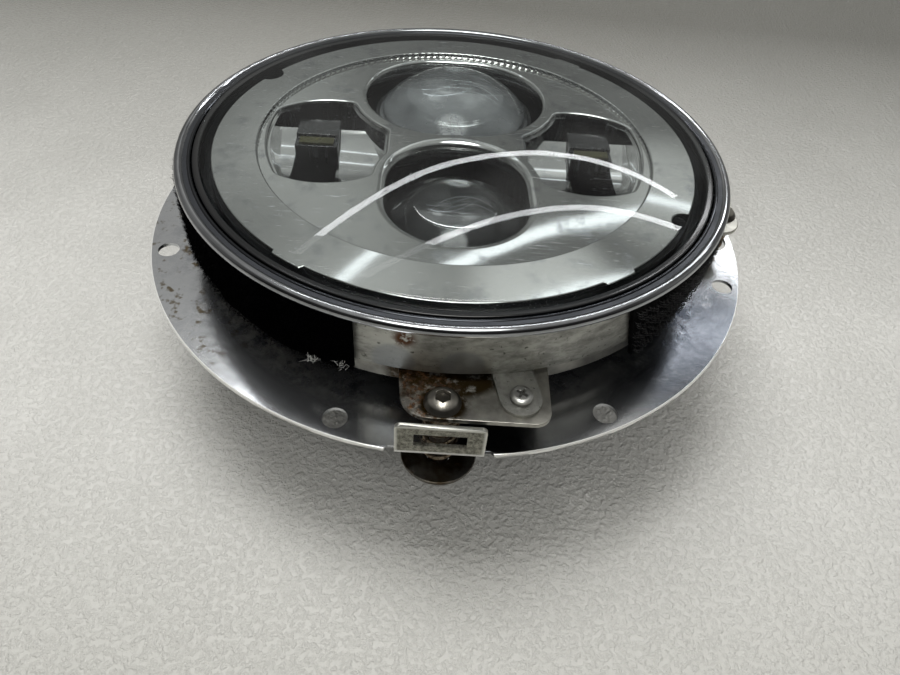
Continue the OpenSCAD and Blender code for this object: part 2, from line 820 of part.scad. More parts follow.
module adjuster_nut(angle) {
    color([0.45, 0.4, 0.33])
    at_station(angle) hex_nut(11, adjuster_r + lean, foot_bottom - 5, foot_bottom);
}

module top_adjuster_nut() { adjuster_nut(top_angle); }
module side_adjuster_nut() { adjuster_nut(side_angle); }

// Coil of round wire from the lug's foot to the tab, one polyhedron swept along a helix
module spring(angle) {
    sides = 8;
    per_turn = 20;
    coil_r = adjuster_r + 0.4 + spring_wire / 2;
    from = foot_top + spring_wire / 2 + 0.05;
    to = tab_bottom - spring_wire / 2 - 0.05;
    rings = spring_turns * per_turn;
    points = [for (i = [0:rings]) let (
            a = 360 * i / per_turn, t = i / rings, ease = t - sin(360 * t) / 25,
            z = from + (to - from) * ease)
        for (j = [0:sides - 1]) let (
                b = 360 * j / sides, r = coil_r + spring_wire / 2 * cos(b))
            [r * cos(a), r * sin(a), z + spring_wire / 2 * sin(b)]];
    walls = [for (i = [0:rings - 1]) for (j = [0:sides - 1]) let (
            k = (j + 1) % sides, base = i * sides)
        [base + j, base + k, base + sides + k, base + sides + j]];
    first = [for (j = [sides - 1:-1:0]) j];
    last = [for (j = [0:sides - 1]) rings * sides + j];
    color([0.42, 0.3, 0.2])
    at_station(angle) polyhedron(points = points, faces = concat([first], walls, [last]));
}

module top_spring() { spring(top_angle); }
module side_spring() { spring(side_angle); }

// Ball stud: ball, neck, shank, collar under the tab and thread through it
module pivot_stud() {
    neck_r = ball_r * 0.52;
    collar_r = 6;
    color([0.6, 0.6, 0.6])
    at_station(pivot_angle) {
        translate([0, 0, pivot_z]) sphere(r = ball_r);
        translate([0, 0, pivot_z]) cylinder(r = neck_r, h = 10);
        translate([0, 0, pivot_z + 9]) cylinder(r = adjuster_r, h = tab_bottom - pivot_z - 9);
        translate([0, 0, tab_bottom - 3]) cylinder(r = collar_r, h = 3);
        translate([0, 0, tab_bottom - 0.5]) cylinder(r = adjuster_r, h = carrier_t + 6.5);
    }
}

module pivot_nut() {
    color([0.6, 0.6, 0.58])
    at_station(pivot_angle) hex_nut(10, adjuster_r + running, tab_top, tab_top + 5);
}

// Split liner round the ball, free to turn in its socket
module pivot_liner() {
    color([0.9, 0.9, 0.86])
    at_station(pivot_angle) translate([0, 0, pivot_z]) difference() {
        intersection() {
            sphere(r = liner_r);
            translate([0, 0, -ball_r - 1]) cylinder(r = 2 * liner_r, h = 2 * ball_r + 1.5);
        }
        sphere(r = ball_r + running);
        cylinder(r = ball_r - 0.8, h = 2 * liner_r);
    }
}

module pivot_socket() {
    socket_r = liner_r + 2.2;
    color([0.1, 0.1, 0.1])
    at_station(pivot_angle) difference() {
        translate([0, 0, pivot_z - liner_r - 1.5]) cylinder(r = socket_r, h = foot_bottom - pivot_z + liner_r + 1.5);
        translate([0, 0, pivot_z]) sphere(r = liner_r + seat);
        translate([0, 0, pivot_z]) cylinder(r = liner_r + seat, h = 10);
    }
}

cover_lens();
lens_seal();
bezel();
low_beam_lens();
low_beam_barrel();
low_beam_reflector();
cutoff_shield();
low_beam_led_board();
high_beam_lens();
high_beam_barrel();
high_beam_reflector();
high_beam_led_board();
left_reflector();
right_reflector();
left_led_post();
right_led_post();
left_led();
right_led();
driver_board();
lamp_housing();
heat_sink();
heat_sink_gasket();
heat_sink_screws();
cable_gland();
vent_plug();
retaining_ring();
ring_screws();
ring_nuts();
carrier_ring();
loop_strap();
hook_strap();
mounting_plate();
top_lug();
side_lug();
pivot_lug();
top_adjuster_screw();
side_adjuster_screw();
top_adjuster_nut();
side_adjuster_nut();
top_spring();
side_spring();
pivot_stud();
pivot_nut();
pivot_liner();
pivot_socket();
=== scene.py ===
"""Looks of a round motorcycle headlight that lies face up on a pale floor.

Lengths are millimetres in the code and become metres where a mesh is made. The origin is the
centre of the flat back, +Z comes out of the lens, and the lamp's top is towards -Y.
"""
import json
import math

import bmesh
import bpy
import numpy as np
from mathutils import Matrix, Vector
from mathutils.geometry import tessellate_polygon


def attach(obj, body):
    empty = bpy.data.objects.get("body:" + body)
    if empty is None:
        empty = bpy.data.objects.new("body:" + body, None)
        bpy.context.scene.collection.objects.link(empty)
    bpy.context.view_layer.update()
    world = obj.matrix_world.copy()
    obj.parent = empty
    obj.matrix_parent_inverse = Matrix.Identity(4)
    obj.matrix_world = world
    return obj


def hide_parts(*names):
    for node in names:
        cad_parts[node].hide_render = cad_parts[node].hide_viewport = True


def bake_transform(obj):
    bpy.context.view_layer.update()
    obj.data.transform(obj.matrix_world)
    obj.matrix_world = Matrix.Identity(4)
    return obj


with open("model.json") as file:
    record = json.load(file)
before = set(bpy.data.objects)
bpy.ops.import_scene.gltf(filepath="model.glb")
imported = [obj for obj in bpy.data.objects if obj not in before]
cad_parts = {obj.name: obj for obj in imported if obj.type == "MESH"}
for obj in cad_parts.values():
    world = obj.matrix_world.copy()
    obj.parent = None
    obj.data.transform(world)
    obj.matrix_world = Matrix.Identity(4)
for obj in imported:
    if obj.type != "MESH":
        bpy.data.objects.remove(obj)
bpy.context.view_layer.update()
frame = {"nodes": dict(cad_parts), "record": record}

MM = 0.001
RECORD = frame["record"]
SLOT = {part["node"]: part["material_slot"] for part in RECORD["subparts"]}
BODY = {name: body for body, names in RECORD["behaviour"]["bodies"].items() for name in names}

# Sizes shared with the solids
UP = np.array([0, 0, 1.0])
STRAP_IN = 90.3
STRAP_OUT = 92.0
STRAP_TOP = 73.2
LOOP_FOOT = 54.0
HOOK_FOOT = 50.5
TAB_TOP = 55.5
TAB_BOTTOM = 54.0
FOOT_TOP = 33.2
PLATE_TOP = 43.2
PLATE_R = 107.5
STATION_R = 99.0
TOP_ANGLE = -88.0
LENS_R = 85.0
LENS_EDGE_Z = 79.4
LENS_RISE = 9.0
UNIT_TURN = 4.0
STEP_R = 67.0
RIM_R = 81.6
PANEL_TOP = 75.1
RING_TOP = 76.6
PANEL_UNDER = 73.6
WALL_FOOT = 69.1
LOW_LENS = {"centre": (-2.37, 33.92), "radius": 27.5, "base": 66.1}
HIGH_LENS = {"centre": (1.95, -27.83), "radius": 21.5, "base": 61.1}
LOW_OPENING_Y = 34.0
HIGH_OPENING_Y = -27.9
SIDE_OPENING = (44.3, -1.5)
SCREW_HEAD = (3.46, -98.94, TAB_TOP)


# Shapes

def linear(code):
    """An sRGB hex colour as linear light, opaque."""
    parts = [int(code[i:i + 2], 16) / 255 for i in (0, 2, 4)]
    return tuple(p / 12.92 if p <= 0.04045 else ((p + 0.055) / 1.055) ** 2.4 for p in parts) + (1.0,)


def darkened(code, share):
    """An sRGB hex colour in linear light, times share."""
    return tuple(c * share for c in linear(code)[:3]) + (1.0,)


def to_object(name, points, faces):
    """Points in millimetres and faces as index rows become an object with smooth faces."""
    mesh = bpy.data.meshes.new(name)
    mesh.from_pydata((np.asarray(points, float) * MM).tolist(), [], [list(map(int, f)) for f in faces])
    mesh.validate()
    mesh.polygons.foreach_set("use_smooth", np.ones(len(mesh.polygons), bool))
    piece = bpy.data.objects.new(name, mesh)
    bpy.context.scene.collection.objects.link(piece)
    return piece


def grid_faces(rows, columns, wrap_rows=False, wrap_columns=False):
    """Quads of a grid of rows x columns points, closed round either way."""
    i = np.arange(rows if wrap_rows else rows - 1)[:, None]
    j = np.arange(columns if wrap_columns else columns - 1)[None, :]
    a = i * columns + j
    b = i * columns + (j + 1) % columns
    c = (i + 1) % rows * columns + (j + 1) % columns
    d = (i + 1) % rows * columns + j
    return np.stack([a, b, c, d], -1).reshape(-1, 4)


def tube_faces(rings, sides):
    """Quads of a tube of rings x sides points, with a face on each end."""
    ends = [list(range(sides)), [(rings - 1) * sides + k for k in range(sides - 1, -1, -1)]]
    return grid_faces(rings, sides, False, True).tolist() + ends


def circle(r, z, thick, count):
    """A round profile about the point (r, z), with thick as its radius."""
    turn = np.linspace(0, 2 * np.pi, count, endpoint=False)
    return np.stack([r + thick * np.cos(turn), z + thick * np.sin(turn)], -1)


def compass(angles):
    """For each angle, the unit vectors that point outwards and round the lamp."""
    flat = np.zeros(len(angles))
    out = np.stack([np.cos(angles), np.sin(angles), flat], -1)
    return out, np.stack([-np.sin(angles), np.cos(angles), flat], -1)


def spun(name, profile, steps=192, closed=True, centre=(0.0, 0.0)):
    """A profile of (radius, height) turned round the vertical through centre.

    A point is (r cos a, r sin a, z) for a from 0 to 360 degrees.
    """
    profile = np.asarray(profile, float)
    a = np.linspace(0, 2 * np.pi, steps, endpoint=False)[:, None]
    points = np.stack([profile[None, :, 0] * np.cos(a) + centre[0],
                       profile[None, :, 0] * np.sin(a) + centre[1],
                       np.broadcast_to(profile[None, :, 1], (steps, len(profile)))], -1)
    piece = to_object(name, points.reshape(-1, 3), grid_faces(steps, len(profile), True, closed))
    clean(piece.data)
    return piece


def clean(mesh):
    """Merges doubled points, drops empty faces and turns the faces outwards."""
    work = bmesh.new()
    work.from_mesh(mesh)
    bmesh.ops.remove_doubles(work, verts=work.verts, dist=1e-6)
    bmesh.ops.dissolve_degenerate(work, edges=work.edges, dist=1e-6)
    bmesh.ops.recalc_face_normals(work, faces=work.faces)
    work.to_mesh(mesh)
    work.free()


def rounded(corners, radii, steps=5):
    """A closed outline whose corners are arcs of the given radii, as quadratic curves."""
    corners = np.asarray(corners, float)
    out = []
    for k, radius in enumerate(radii):
        p, before, after = corners[k], corners[k - 1], corners[(k + 1) % len(corners)]
        if radius == 0:
            out.append(p[None])
            continue
        u = (before - p) / np.linalg.norm(before - p)
        v = (after - p) / np.linalg.norm(after - p)
        t = np.linspace(0, 1, steps)[:, None]
        start, end = p + u * radius, p + v * radius
        out.append((1 - t) ** 2 * start + 2 * t * (1 - t) * p + t ** 2 * end)
    return np.concatenate(out)


def softened(node_name, width, rim=None):
    """A merged copy of a solid's mesh whose sharp edges are rounded by a bevel of width.

    With a width of 0 the edges stay sharp and only the shading is evened. rim (radius, height) rounds
    the top edge that lies outside that radius.
    """
    sharp, flat = math.radians(35), math.radians(1)
    rim_round = 0.4 * MM
    source = frame["nodes"][node_name]
    mesh = source.data.copy()
    mesh.name = node_name + "_finished"
    mesh.materials.clear()
    work = bmesh.new()
    work.from_mesh(mesh)
    bmesh.ops.remove_doubles(work, verts=work.verts, dist=2e-6)
    if width:
        bmesh.ops.dissolve_limit(work, angle_limit=flat, verts=work.verts,
                                 edges=work.edges, delimit={"NORMAL"})
    if rim:
        edges = [e for e in work.edges if all(math.hypot(v.co.x, v.co.y) > rim[0] * MM
                                              and abs(v.co.z - rim[1] * MM) < 1e-5 for v in e.verts)
                 and e.calc_face_angle(0) > 1]
        bmesh.ops.bevel(work, geom=edges, offset=rim_round, segments=3, profile=0.5, affect="EDGES")
    for face in work.faces:
        face.smooth = True
    work.to_mesh(mesh)
    work.free()
    piece = bpy.data.objects.new(mesh.name, mesh)
    bpy.context.scene.collection.objects.link(piece)
    if not width:
        mesh.set_sharp_from_angle(angle=sharp)
        evened = piece.modifiers.new("shading", "WEIGHTED_NORMAL")
        evened.weight = 100
        evened.keep_sharp = True
        return piece
    bevel = piece.modifiers.new("edges", "BEVEL")
    bevel.width = width * MM
    bevel.segments = 2
    bevel.limit_method = "ANGLE"
    bevel.angle_limit = sharp
    bevel.miter_outer = "MITER_ARC"
    evened = piece.modifiers.new("shading", "WEIGHTED_NORMAL")
    evened.mode = "FACE_AREA"
    evened.weight = 90
    evened.keep_sharp = True
    return piece


def place(piece, material, body, *nodes, slot=None):
    """Gives a piece its material, its body and the solids that it stands for, which it hides; slot is not
    used.
    """
    piece.data.materials.clear()
    piece.data.materials.append(material)
    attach(piece, body)
    if nodes:
        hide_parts(*nodes)
    return piece


# Materials

def node(tree, kind, inputs=None, **settings):
    """Adds one shader node with its settings, its sockets' values and what feeds them."""
    made = tree.nodes.new("ShaderNode" + kind)
    for key, value in settings.items():
        setattr(made, key, value)
    for key, value in (inputs or {}).items():
        socket = made.inputs[key]
        if isinstance(value, bpy.types.NodeSocket):
            tree.links.new(value, socket)
        else:
            socket.default_value = value
    return made


def begin(name):
    """An empty material, its tree and the object's own coordinates."""
    material = bpy.data.materials.new(name)
    material.use_nodes = True
    tree = material.node_tree
    tree.nodes.clear()
    return material, tree, node(tree, "TexCoord").outputs["Object"]


def end(tree, shader):
    """Shows a shader on the material's surface."""
    node(tree, "OutputMaterial", {"Surface": shader})


def skin(tree, colour, roughness, metallic=0.0, normal=None, coat=0.0, ior=1.5):
    """Shows one Principled surface, with normal for its bumps and coat for a clear lacquer on it."""
    inputs = {"Base Color": colour, "Roughness": roughness, "Metallic": metallic,
              "Coat Weight": coat, "IOR": ior}
    if normal is not None:
        inputs["Normal"] = normal
    end(tree, node(tree, "BsdfPrincipled", inputs).outputs[0])


def patches(tree, where, size, low, high, detail=4.0, stretch=(1, 1, 1), roughness=0.6):
    """Cloudy patches about size millimetres across: 0 below low and 1 over high of the noise."""
    scaled = node(tree, "Mapping", {"Vector": where, "Scale": [s / (size * MM) for s in stretch]})
    noise = node(tree, "TexNoise", {"Vector": scaled.outputs[0], "Scale": 1.0, "Detail": detail,
                                    "Roughness": roughness})
    return ramp(tree, noise.outputs[0], low, high, smooth=True)


def near(tree, where, centre, inner, outer):
    """1 within inner millimetres of centre, and 0 past outer."""
    gap = node(tree, "VectorMath", {0: where, 1: [c * MM for c in centre]}, operation="DISTANCE")
    return ramp(tree, gap.outputs["Value"], outer * MM, inner * MM, smooth=True)


def ramp(tree, value, low, high, start=0.0, stop=1.0, smooth=False):
    """A value that runs from low to high becomes one that runs from start to stop, held at both ends."""
    settings = {"interpolation_type": "SMOOTHSTEP"} if smooth else {}
    return node(tree, "MapRange", {"Value": value, "From Min": low, "From Max": high,
                                   "To Min": start, "To Max": stop}, **settings).outputs[0]


def calc(tree, operation, *values):
    """One sum of one to three values, not held between 0 and 1."""
    return node(tree, "Math", dict(enumerate(values)), operation=operation).outputs[0]


def axis(tree, where, name):
    """The X, Y or Z of a point."""
    return node(tree, "SeparateXYZ", {0: where}).outputs[name]


def reach(tree, where):
    """How far a point is from the lamp's own axis, in metres."""
    flat = node(tree, "VectorMath", {0: where, 1: (1, 1, 0)}, operation="MULTIPLY").outputs[0]
    return node(tree, "VectorMath", {0: flat}, operation="LENGTH").outputs["Value"]


def bumped(tree, height, strength, distance):
    """A normal that follows height, as deep as distance millimetres times strength."""
    return node(tree, "Bump", {"Height": height, "Strength": strength, "Distance": distance * MM}).outputs[0]


def sums(tree, first, operation, second):
    """Joins two masks by a sum, product or other operation, held between 0 and 1."""
    return node(tree, "Math", {0: first, 1: second}, operation=operation, use_clamp=True).outputs[0]


def tinted(tree, mask, first, second):
    """The first colour where the mask is 0 and the second where it is 1."""
    return node(tree, "Mix", {0: mask, 6: first, 7: second}, data_type="RGBA").outputs[2]


def plain(name, code, roughness=0.5, metallic=0.0, grain=None, ior=1.5, speck=None, coat=0.0):
    """A simple finish: one colour broken by faint patches, and a fine bump of grain millimetres."""
    material, tree, where = begin(name)
    worn = patches(tree, where, 14, 0.35, 0.75)
    colour = tinted(tree, worn, linear(code), darkened(code, 0.72))
    if speck:
        colour = tinted(tree, patches(tree, where, 1.6, 0.66, 0.72), colour, linear(speck))
    rough = ramp(tree, worn, 0.0, 1.0, roughness * 0.8, roughness * 1.25)
    fine = None
    if grain:
        fine = bumped(tree, patches(tree, where, grain, 0.3, 0.7, detail=2.0), 0.25, grain * 0.15)
    skin(tree, colour, rough, metallic, fine, coat, ior)
    return material


def striped_black():
    """Moulded black plastic of the LED posts: glossy, with faint upright light stripes that are painted
    reflections.
    """
    material, tree, where = begin("black_nylon_painted_reflection_stripes")
    # The upright light stripes are painted reflection lines.
    lines = patches(tree, where, 1.1, 0.5, 0.62, stretch=(1, 1, 0.06))
    colour = tinted(tree, lines, linear("050607"), linear("3A3C3D"))
    skin(tree, colour, 0.16, coat=0.3)
    return material


def scratches(tree, where, length, width, amount, turn=0.0):
    """Fine straight scratches: the thin borders of cells drawn out along one direction."""
    laid = node(tree, "Mapping", {"Vector": where, "Rotation": (0, 0, turn),
                                  "Scale": (1 / (length * MM), 1 / (width * MM), 1 / (width * MM))})
    cells = node(tree, "TexNoise", {"Vector": laid.outputs[0], "Scale": 1.0, "Detail": 3.0})
    return ramp(tree, cells.outputs[0], 0.68, 0.76, 0.0, amount, smooth=True)


def outer_gloss(tree, ior, strength):
    """How much a clear shell mirrors: Fresnel on its outward faces and nothing inside it."""
    fresnel = node(tree, "Fresnel", {"IOR": ior}).outputs[0]
    inside = node(tree, "NewGeometry").outputs["Backfacing"]
    held = calc(tree, "MULTIPLY", fresnel, calc(tree, "SUBTRACT", 1.0, inside))
    return sums(tree, held, "MULTIPLY", strength)


def hard_coated_polycarbonate():
    """Moulded clear polycarbonate: mirrors at a slant, with fine scratches and a thin haze."""
    material, tree, where = begin("hard_coated_polycarbonate")
    marks = sums(tree, scratches(tree, where, 18, 0.5, 0.5, 0.6), "MAXIMUM",
                 scratches(tree, where, 26, 0.6, 0.4, -0.9))
    dust = patches(tree, where, 30, 0.45, 0.8)
    haze = calc(tree, "MULTIPLY_ADD", dust, 0.012, 0.003)
    haze = sums(tree, haze, "ADD", calc(tree, "MULTIPLY", marks, 0.1))
    clear = node(tree, "BsdfTransparent", {"Color": linear("F3F5F5")})
    mirror = node(tree, "BsdfAnisotropic", {"Color": (1, 1, 1, 1), "Roughness": 0.02})
    shell = node(tree, "MixShader", {0: outer_gloss(tree, 1.58, 0.36), 1: clear.outputs[0],
                                     2: mirror.outputs[0]})
    film = node(tree, "BsdfDiffuse", {"Color": linear("D6D8D8")})
    whole = node(tree, "MixShader", {0: haze, 1: shell.outputs[0], 2: film.outputs[0]})
    end(tree, whole.outputs[0])
    return material


def projector_glass(name, film_amount, tint, edge_y):
    """Pressed and polished glass that bends the view, with a thin grey film on its nearer half."""
    material, tree, where = begin(name)
    lower = ramp(tree, axis(tree, where, "Y"), (edge_y + 12) * MM, (edge_y - 8) * MM, 0.3, 1.0)
    film = sums(tree, patches(tree, where, 22, 0.2, 0.7), "MULTIPLY", film_amount)
    film = sums(tree, film, "MULTIPLY", lower)
    glass = node(tree, "BsdfPrincipled", {"Base Color": linear(tint), "Roughness": 0.015, "IOR": 1.52,
                                          "Transmission Weight": 1.0})
    dull = node(tree, "BsdfDiffuse", {"Color": linear("A9ABAC")})
    whole = node(tree, "MixShader", {0: film, 1: glass.outputs[0], 2: dull.outputs[0]})
    end(tree, whole.outputs[0])
    return material


def chrome_on_abs(name="chrome_plated_abs", code="DCDCDA", wave=0.03, gloss=0.05, well=False):
    """Chrome plating on moulded ABS: a bright mirror with a soft waviness, dust, scratches and white scores.

    It is a little duller outside the bezel's step. With well, the channels before and behind the two LED
    posts are coloured near black.
    """
    post_x, channel_half = 49.0, 7.65
    material, tree, where = begin(name)
    dust = patches(tree, where, 9, 0.5, 0.8)
    colour = tinted(tree, dust, linear(code), linear("B9BABC"))
    if well:
        turn = math.radians(UNIT_TURN)
        across = node(tree, "VectorMath", {0: where, 1: (math.cos(turn), math.sin(turn), 0)},
                      operation="DOT_PRODUCT").outputs["Value"]
        off = calc(tree, "SUBTRACT", calc(tree, "ABSOLUTE", across), post_x * MM)
        dark = ramp(tree, calc(tree, "ABSOLUTE", off), (channel_half + 0.05) * MM, (channel_half - 0.05) * MM)
        colour = tinted(tree, dark, colour, linear("1A1C1E"))
    rough = ramp(tree, dust, 0.0, 1.0, gloss, gloss + 0.08)
    lines = sums(tree, scratches(tree, where, 14, 0.25, 0.3, 0.4), "MAXIMUM",
                 scratches(tree, where, 10, 0.25, 0.3, -0.7))
    rough = sums(tree, rough, "ADD", lines)
    outer = ramp(tree, reach(tree, where), (STEP_R - 0.5) * MM, (STEP_R + 0.5) * MM, 0.0, 0.015)
    rough = sums(tree, rough, "ADD", outer)
    scored = sums(tree, scratches(tree, where, 9, 0.4, 1.0, 0.5), "MAXIMUM",
                  scratches(tree, where, 7, 0.35, 1.0, -0.25))
    scored = sums(tree, scored, "MAXIMUM", scratches(tree, where, 8, 0.35, 1.0, 1.2))
    scored = sums(tree, scored, "MULTIPLY", patches(tree, where, 25, 0.35, 0.6))
    colour = tinted(tree, scored, colour, linear("F2F4F8"))
    metal = ramp(tree, scored, 0.0, 1.0, 1.0, 0.45)
    soft = bumped(tree, patches(tree, where, 16, 0.0, 1.0, detail=1.0), wave, 0.6)
    skin(tree, colour, rough, metal, soft)
    return material


def above(tree, where, low, high):
    """1 above the height high and 0 below low, in millimetres."""
    return ramp(tree, axis(tree, where, "Z"), low * MM, high * MM)


def worn_ring_steel():
    """Galvanised sheet steel, dulled in service: grey bloom, scuffs, two cleaner marks, a brown spot and a
    painted dark reflection on its rolled top.
    """
    material, tree, where = begin("galvanised_ring_steel")
    bloom = patches(tree, where, 7, 0.35, 0.65, detail=8.0, stretch=(0.6, 0.6, 1.4), roughness=0.7)
    colour = tinted(tree, bloom, linear("AFAFA9"), linear("7C7C77"))
    lines = scratches(tree, where, 12, 0.5, 0.7, 0.0)
    colour = tinted(tree, lines, colour, linear("DADAD6"))
    scuffs = patches(tree, where, 1.3, 0.62, 0.7)
    colour = tinted(tree, scuffs, colour, linear("55554F"))
    for x, z in ((-11, 60), (8, 60)):
        wiped = sums(tree, near(tree, where, (x, -89, z), 5, 7), "MULTIPLY", 0.8)
        colour = tinted(tree, wiped, colour, linear("8F9293"))
    grime = sums(tree, near(tree, where, (-8, -89.6, 69), 1.5, 4.5), "MULTIPLY",
                 patches(tree, where, 2.2, 0.35, 0.5))
    colour = tinted(tree, grime, colour, linear("4A2C16"))
    # Painted dark reflection: above 72.5 mm, on the rolled bead and lip, the colour is dark grey.
    colour = tinted(tree, above(tree, where, 72.5, 74.5), colour, linear("3C3E42"))
    dents = bumped(tree, patches(tree, where, 1.2, 0.3, 0.7, 2.0), 0.2, 0.05)
    skin(tree, colour, ramp(tree, bloom, 0.0, 1.0, 0.3, 0.5), 0.85, dents)
    return material


def rusting_steel(name, base, amount, size=3.0, centre=None, top=None, collar=None, recess=None):
    """Zinc-plated steel that rusts from its edges: dark brown scale over dull grey.

    centre (point, inner, outer) keeps the rust round one place. collar is a point with a stained ring round
    it, and with it the sheet is darkened in patches along the band too. Above the height top the steel is
    clean, and below the height recess the head's hollow and lower sides carry painted shade.
    """
    material, tree, where = begin(name)
    scale = patches(tree, where, size, 0.62 - amount * 0.4, 0.72 - amount * 0.4, roughness=0.75, detail=8.0)
    stain = patches(tree, where, size * 3, 0.4, 0.7)
    if centre:
        held = near(tree, where, *centre)
        scale = sums(tree, scale, "MULTIPLY", held)
        stain = sums(tree, stain, "MULTIPLY", held)
    if top:
        clean_top = above(tree, where, top - 0.3, top)
        scale = sums(tree, scale, "SUBTRACT", clean_top)
        stain = sums(tree, stain, "SUBTRACT", clean_top)
    if collar:
        mottle = patches(tree, where, 2.5, 0.25, 0.5, detail=6.0)
        round_head = sums(tree, near(tree, where, collar, 5.6, 8.4), "MULTIPLY", mottle)
        # The sheet within about 18 mm of this point, next to and under the band, is darkened in patches.
        under_band = sums(tree, near(tree, where, (4, -78, 55.5), 18.2, 21.5), "MULTIPLY", mottle)
        round_head = sums(tree, round_head, "MAXIMUM", under_band)
        stain = sums(tree, stain, "MAXIMUM", round_head)
    worn = patches(tree, where, 5, 0.3, 0.75, detail=8.0)
    metal_colour = tinted(tree, worn, linear(base), darkened(base, 0.55))
    stained = tinted(tree, stain, metal_colour, linear("32260F"))
    rust = tinted(tree, patches(tree, where, 1.0, 0.4, 0.6), linear("24170D"), linear("5A3C1E"))
    colour = tinted(tree, scale, stained, rust)
    if recess:
        # Painted shade: below the height recess the head's hollow and lower sides are darkened.
        shadow = calc(tree, "SUBTRACT", 1.0, above(tree, where, recess, recess + 0.5))
        colour = tinted(tree, sums(tree, shadow, "MULTIPLY", 0.75), colour, linear("1E1A14"))
    height = sums(tree, scale, "MULTIPLY", patches(tree, where, 0.6, 0.3, 0.7))
    skin(tree, colour, ramp(tree, scale, 0.0, 1.0, 0.3, 0.75), ramp(tree, scale, 0.0, 1.0, 0.9, 0.1),
         bumped(tree, height, 0.5, 0.12))
    return material


def polished_stainless():
    """Bright stainless sheet: blue-black mottling near the lamp, yellow-brown spots, a painted white
    highlight along the rim, and painted dark reflections at the right and beside the catch.

    The catch that is bent up from it is dull and worn, with painted highlights along its top edge and ends.
    """
    catch_x, catch_half = 3.7, 11.9
    material, tree, where = begin("polished_stainless_sheet")
    middle = near(tree, where, (0, 0, 43), 88, 101)
    fine = patches(tree, where, 4.5, 0.42, 0.6, detail=8.0, roughness=0.75)
    bloom = sums(tree, fine, "MULTIPLY", patches(tree, where, 30, 0.35, 0.55))
    bloom = sums(tree, bloom, "MULTIPLY", calc(tree, "MULTIPLY_ADD", middle, 0.75, 0.15))
    colour = tinted(tree, bloom, linear("C2C4C6"), linear("2A303E"))
    # Painted dark reflection: the sheet's right side is darkened in patches.
    right = sums(tree, near(tree, where, (84, -58, 43), 22, 52), "MULTIPLY",
                 patches(tree, where, 12, 0.05, 0.5, detail=8.0, roughness=0.75))
    colour = tinted(tree, sums(tree, right, "MULTIPLY", 0.86), colour, linear("343943"))
    # Painted dark reflection: a smooth near-black patch beside the catch.
    beside = near(tree, where, (18, -101, 43), 7, 17)
    colour = tinted(tree, sums(tree, beside, "MULTIPLY", 0.92), colour, linear("1C1E22"))
    spots = sums(tree, patches(tree, where, 3.5, 0.56, 0.66, detail=6.0), "MULTIPLY",
                 near(tree, where, (-88, -45, 43), 26, 60))
    colour = tinted(tree, sums(tree, spots, "MULTIPLY", 0.85), colour, linear("5C4A1E"))
    lines = sums(tree, scratches(tree, where, 20, 0.4, 0.5, 0.3), "MAXIMUM",
                 scratches(tree, where, 16, 0.4, 0.5, 1.3))
    catch = above(tree, where, 43.7, 44.6)
    grain = patches(tree, where, 1.6, 0.35, 0.65, detail=8.0, roughness=0.8)
    dull = tinted(tree, grain, linear("A8A79C"), linear("4E4D45"))
    off = calc(tree, "ABSOLUTE", calc(tree, "SUBTRACT", axis(tree, where, "X"), catch_x * MM))
    ends = ramp(tree, off, (catch_half - 0.7) * MM, catch_half * MM)
    # Painted highlight: the catch's top edge and its ends are near white.
    edge = sums(tree, above(tree, where, 54.1, 54.7), "MAXIMUM", ends)
    colour = tinted(tree, catch, colour, tinted(tree, edge, dull, linear("D6D6D0")))
    # Painted highlight: a thin near-white band along the top of the rim.
    painted_rim_highlight = ramp(tree, reach(tree, where), (PLATE_R - 0.55) * MM, (PLATE_R - 0.35) * MM)
    painted_rim_highlight = sums(tree, painted_rim_highlight, "SUBTRACT", catch)
    colour = tinted(tree, painted_rim_highlight, colour, linear("F4F4F0"))
    metal = ramp(tree, painted_rim_highlight, 0.0, 1.0, 0.95, 0.35)
    rough = calc(tree, "MULTIPLY_ADD", sums(tree, bloom, "MAXIMUM", lines), 0.2, 0.17)
    rough = sums(tree, rough, "ADD", sums(tree, catch, "MULTIPLY", 0.3))
    waves = bumped(tree, patches(tree, where, 2.2, 0.3, 0.7, 2.0), 0.08, 0.1)
    skin(tree, colour, rough, metal, waves)
    return material


# Lamp front

def build_cover(material):
    """The cover lens: a spherical cap over a straight skirt, with a rounded shoulder."""
    sphere_r = (LENS_R ** 2 + LENS_RISE ** 2) / (2 * LENS_RISE)
    middle = LENS_EDGE_Z + LENS_RISE - sphere_r
    thick, skirt, skirt_foot = 2.5, 1.7, 69.1
    outer_r = np.linspace(0, LENS_R - 1.0, 40)
    outer = np.stack([outer_r, middle + np.sqrt(sphere_r ** 2 - outer_r ** 2)], -1)
    shoulder = np.array([[LENS_R - 0.45, LENS_EDGE_Z - 0.02], [LENS_R - 0.1, LENS_EDGE_Z - 0.35],
                         [LENS_R, LENS_EDGE_Z - 0.9]])
    foot = np.array([[LENS_R, skirt_foot + 0.2], [LENS_R - 0.2, skirt_foot],
                     [LENS_R - skirt + 0.2, skirt_foot], [LENS_R - skirt, skirt_foot + 0.2]])
    inner_r = np.linspace(LENS_R - skirt, 0, 40)
    inner = np.stack([inner_r, middle + np.sqrt((sphere_r - thick) ** 2 - inner_r ** 2)], -1)
    piece = spun("cover_lens_clear", np.concatenate([outer, shoulder, foot, inner]), closed=False)
    place(piece, material, "lamp", "cover_lens")


def build_seal(material):
    """The seal: a flange under the ring, and a soft lip that stands against the lens."""
    r, flange_r, lip = LENS_R + 0.05, 88.5, 2.25
    foot, flange_top, lip_top = 73.6, 74.8, 76.35
    corners = [(r, foot), (flange_r, foot), (flange_r, flange_top), (r + lip, flange_top),
               (r + lip, lip_top), (r, lip_top)]
    piece = spun("lens_seal_lip", rounded(corners, [0.2, 0.2, 0.3, 0.3, 0.6, 0.4]))
    place(piece, material, "lamp", "lens_seal")


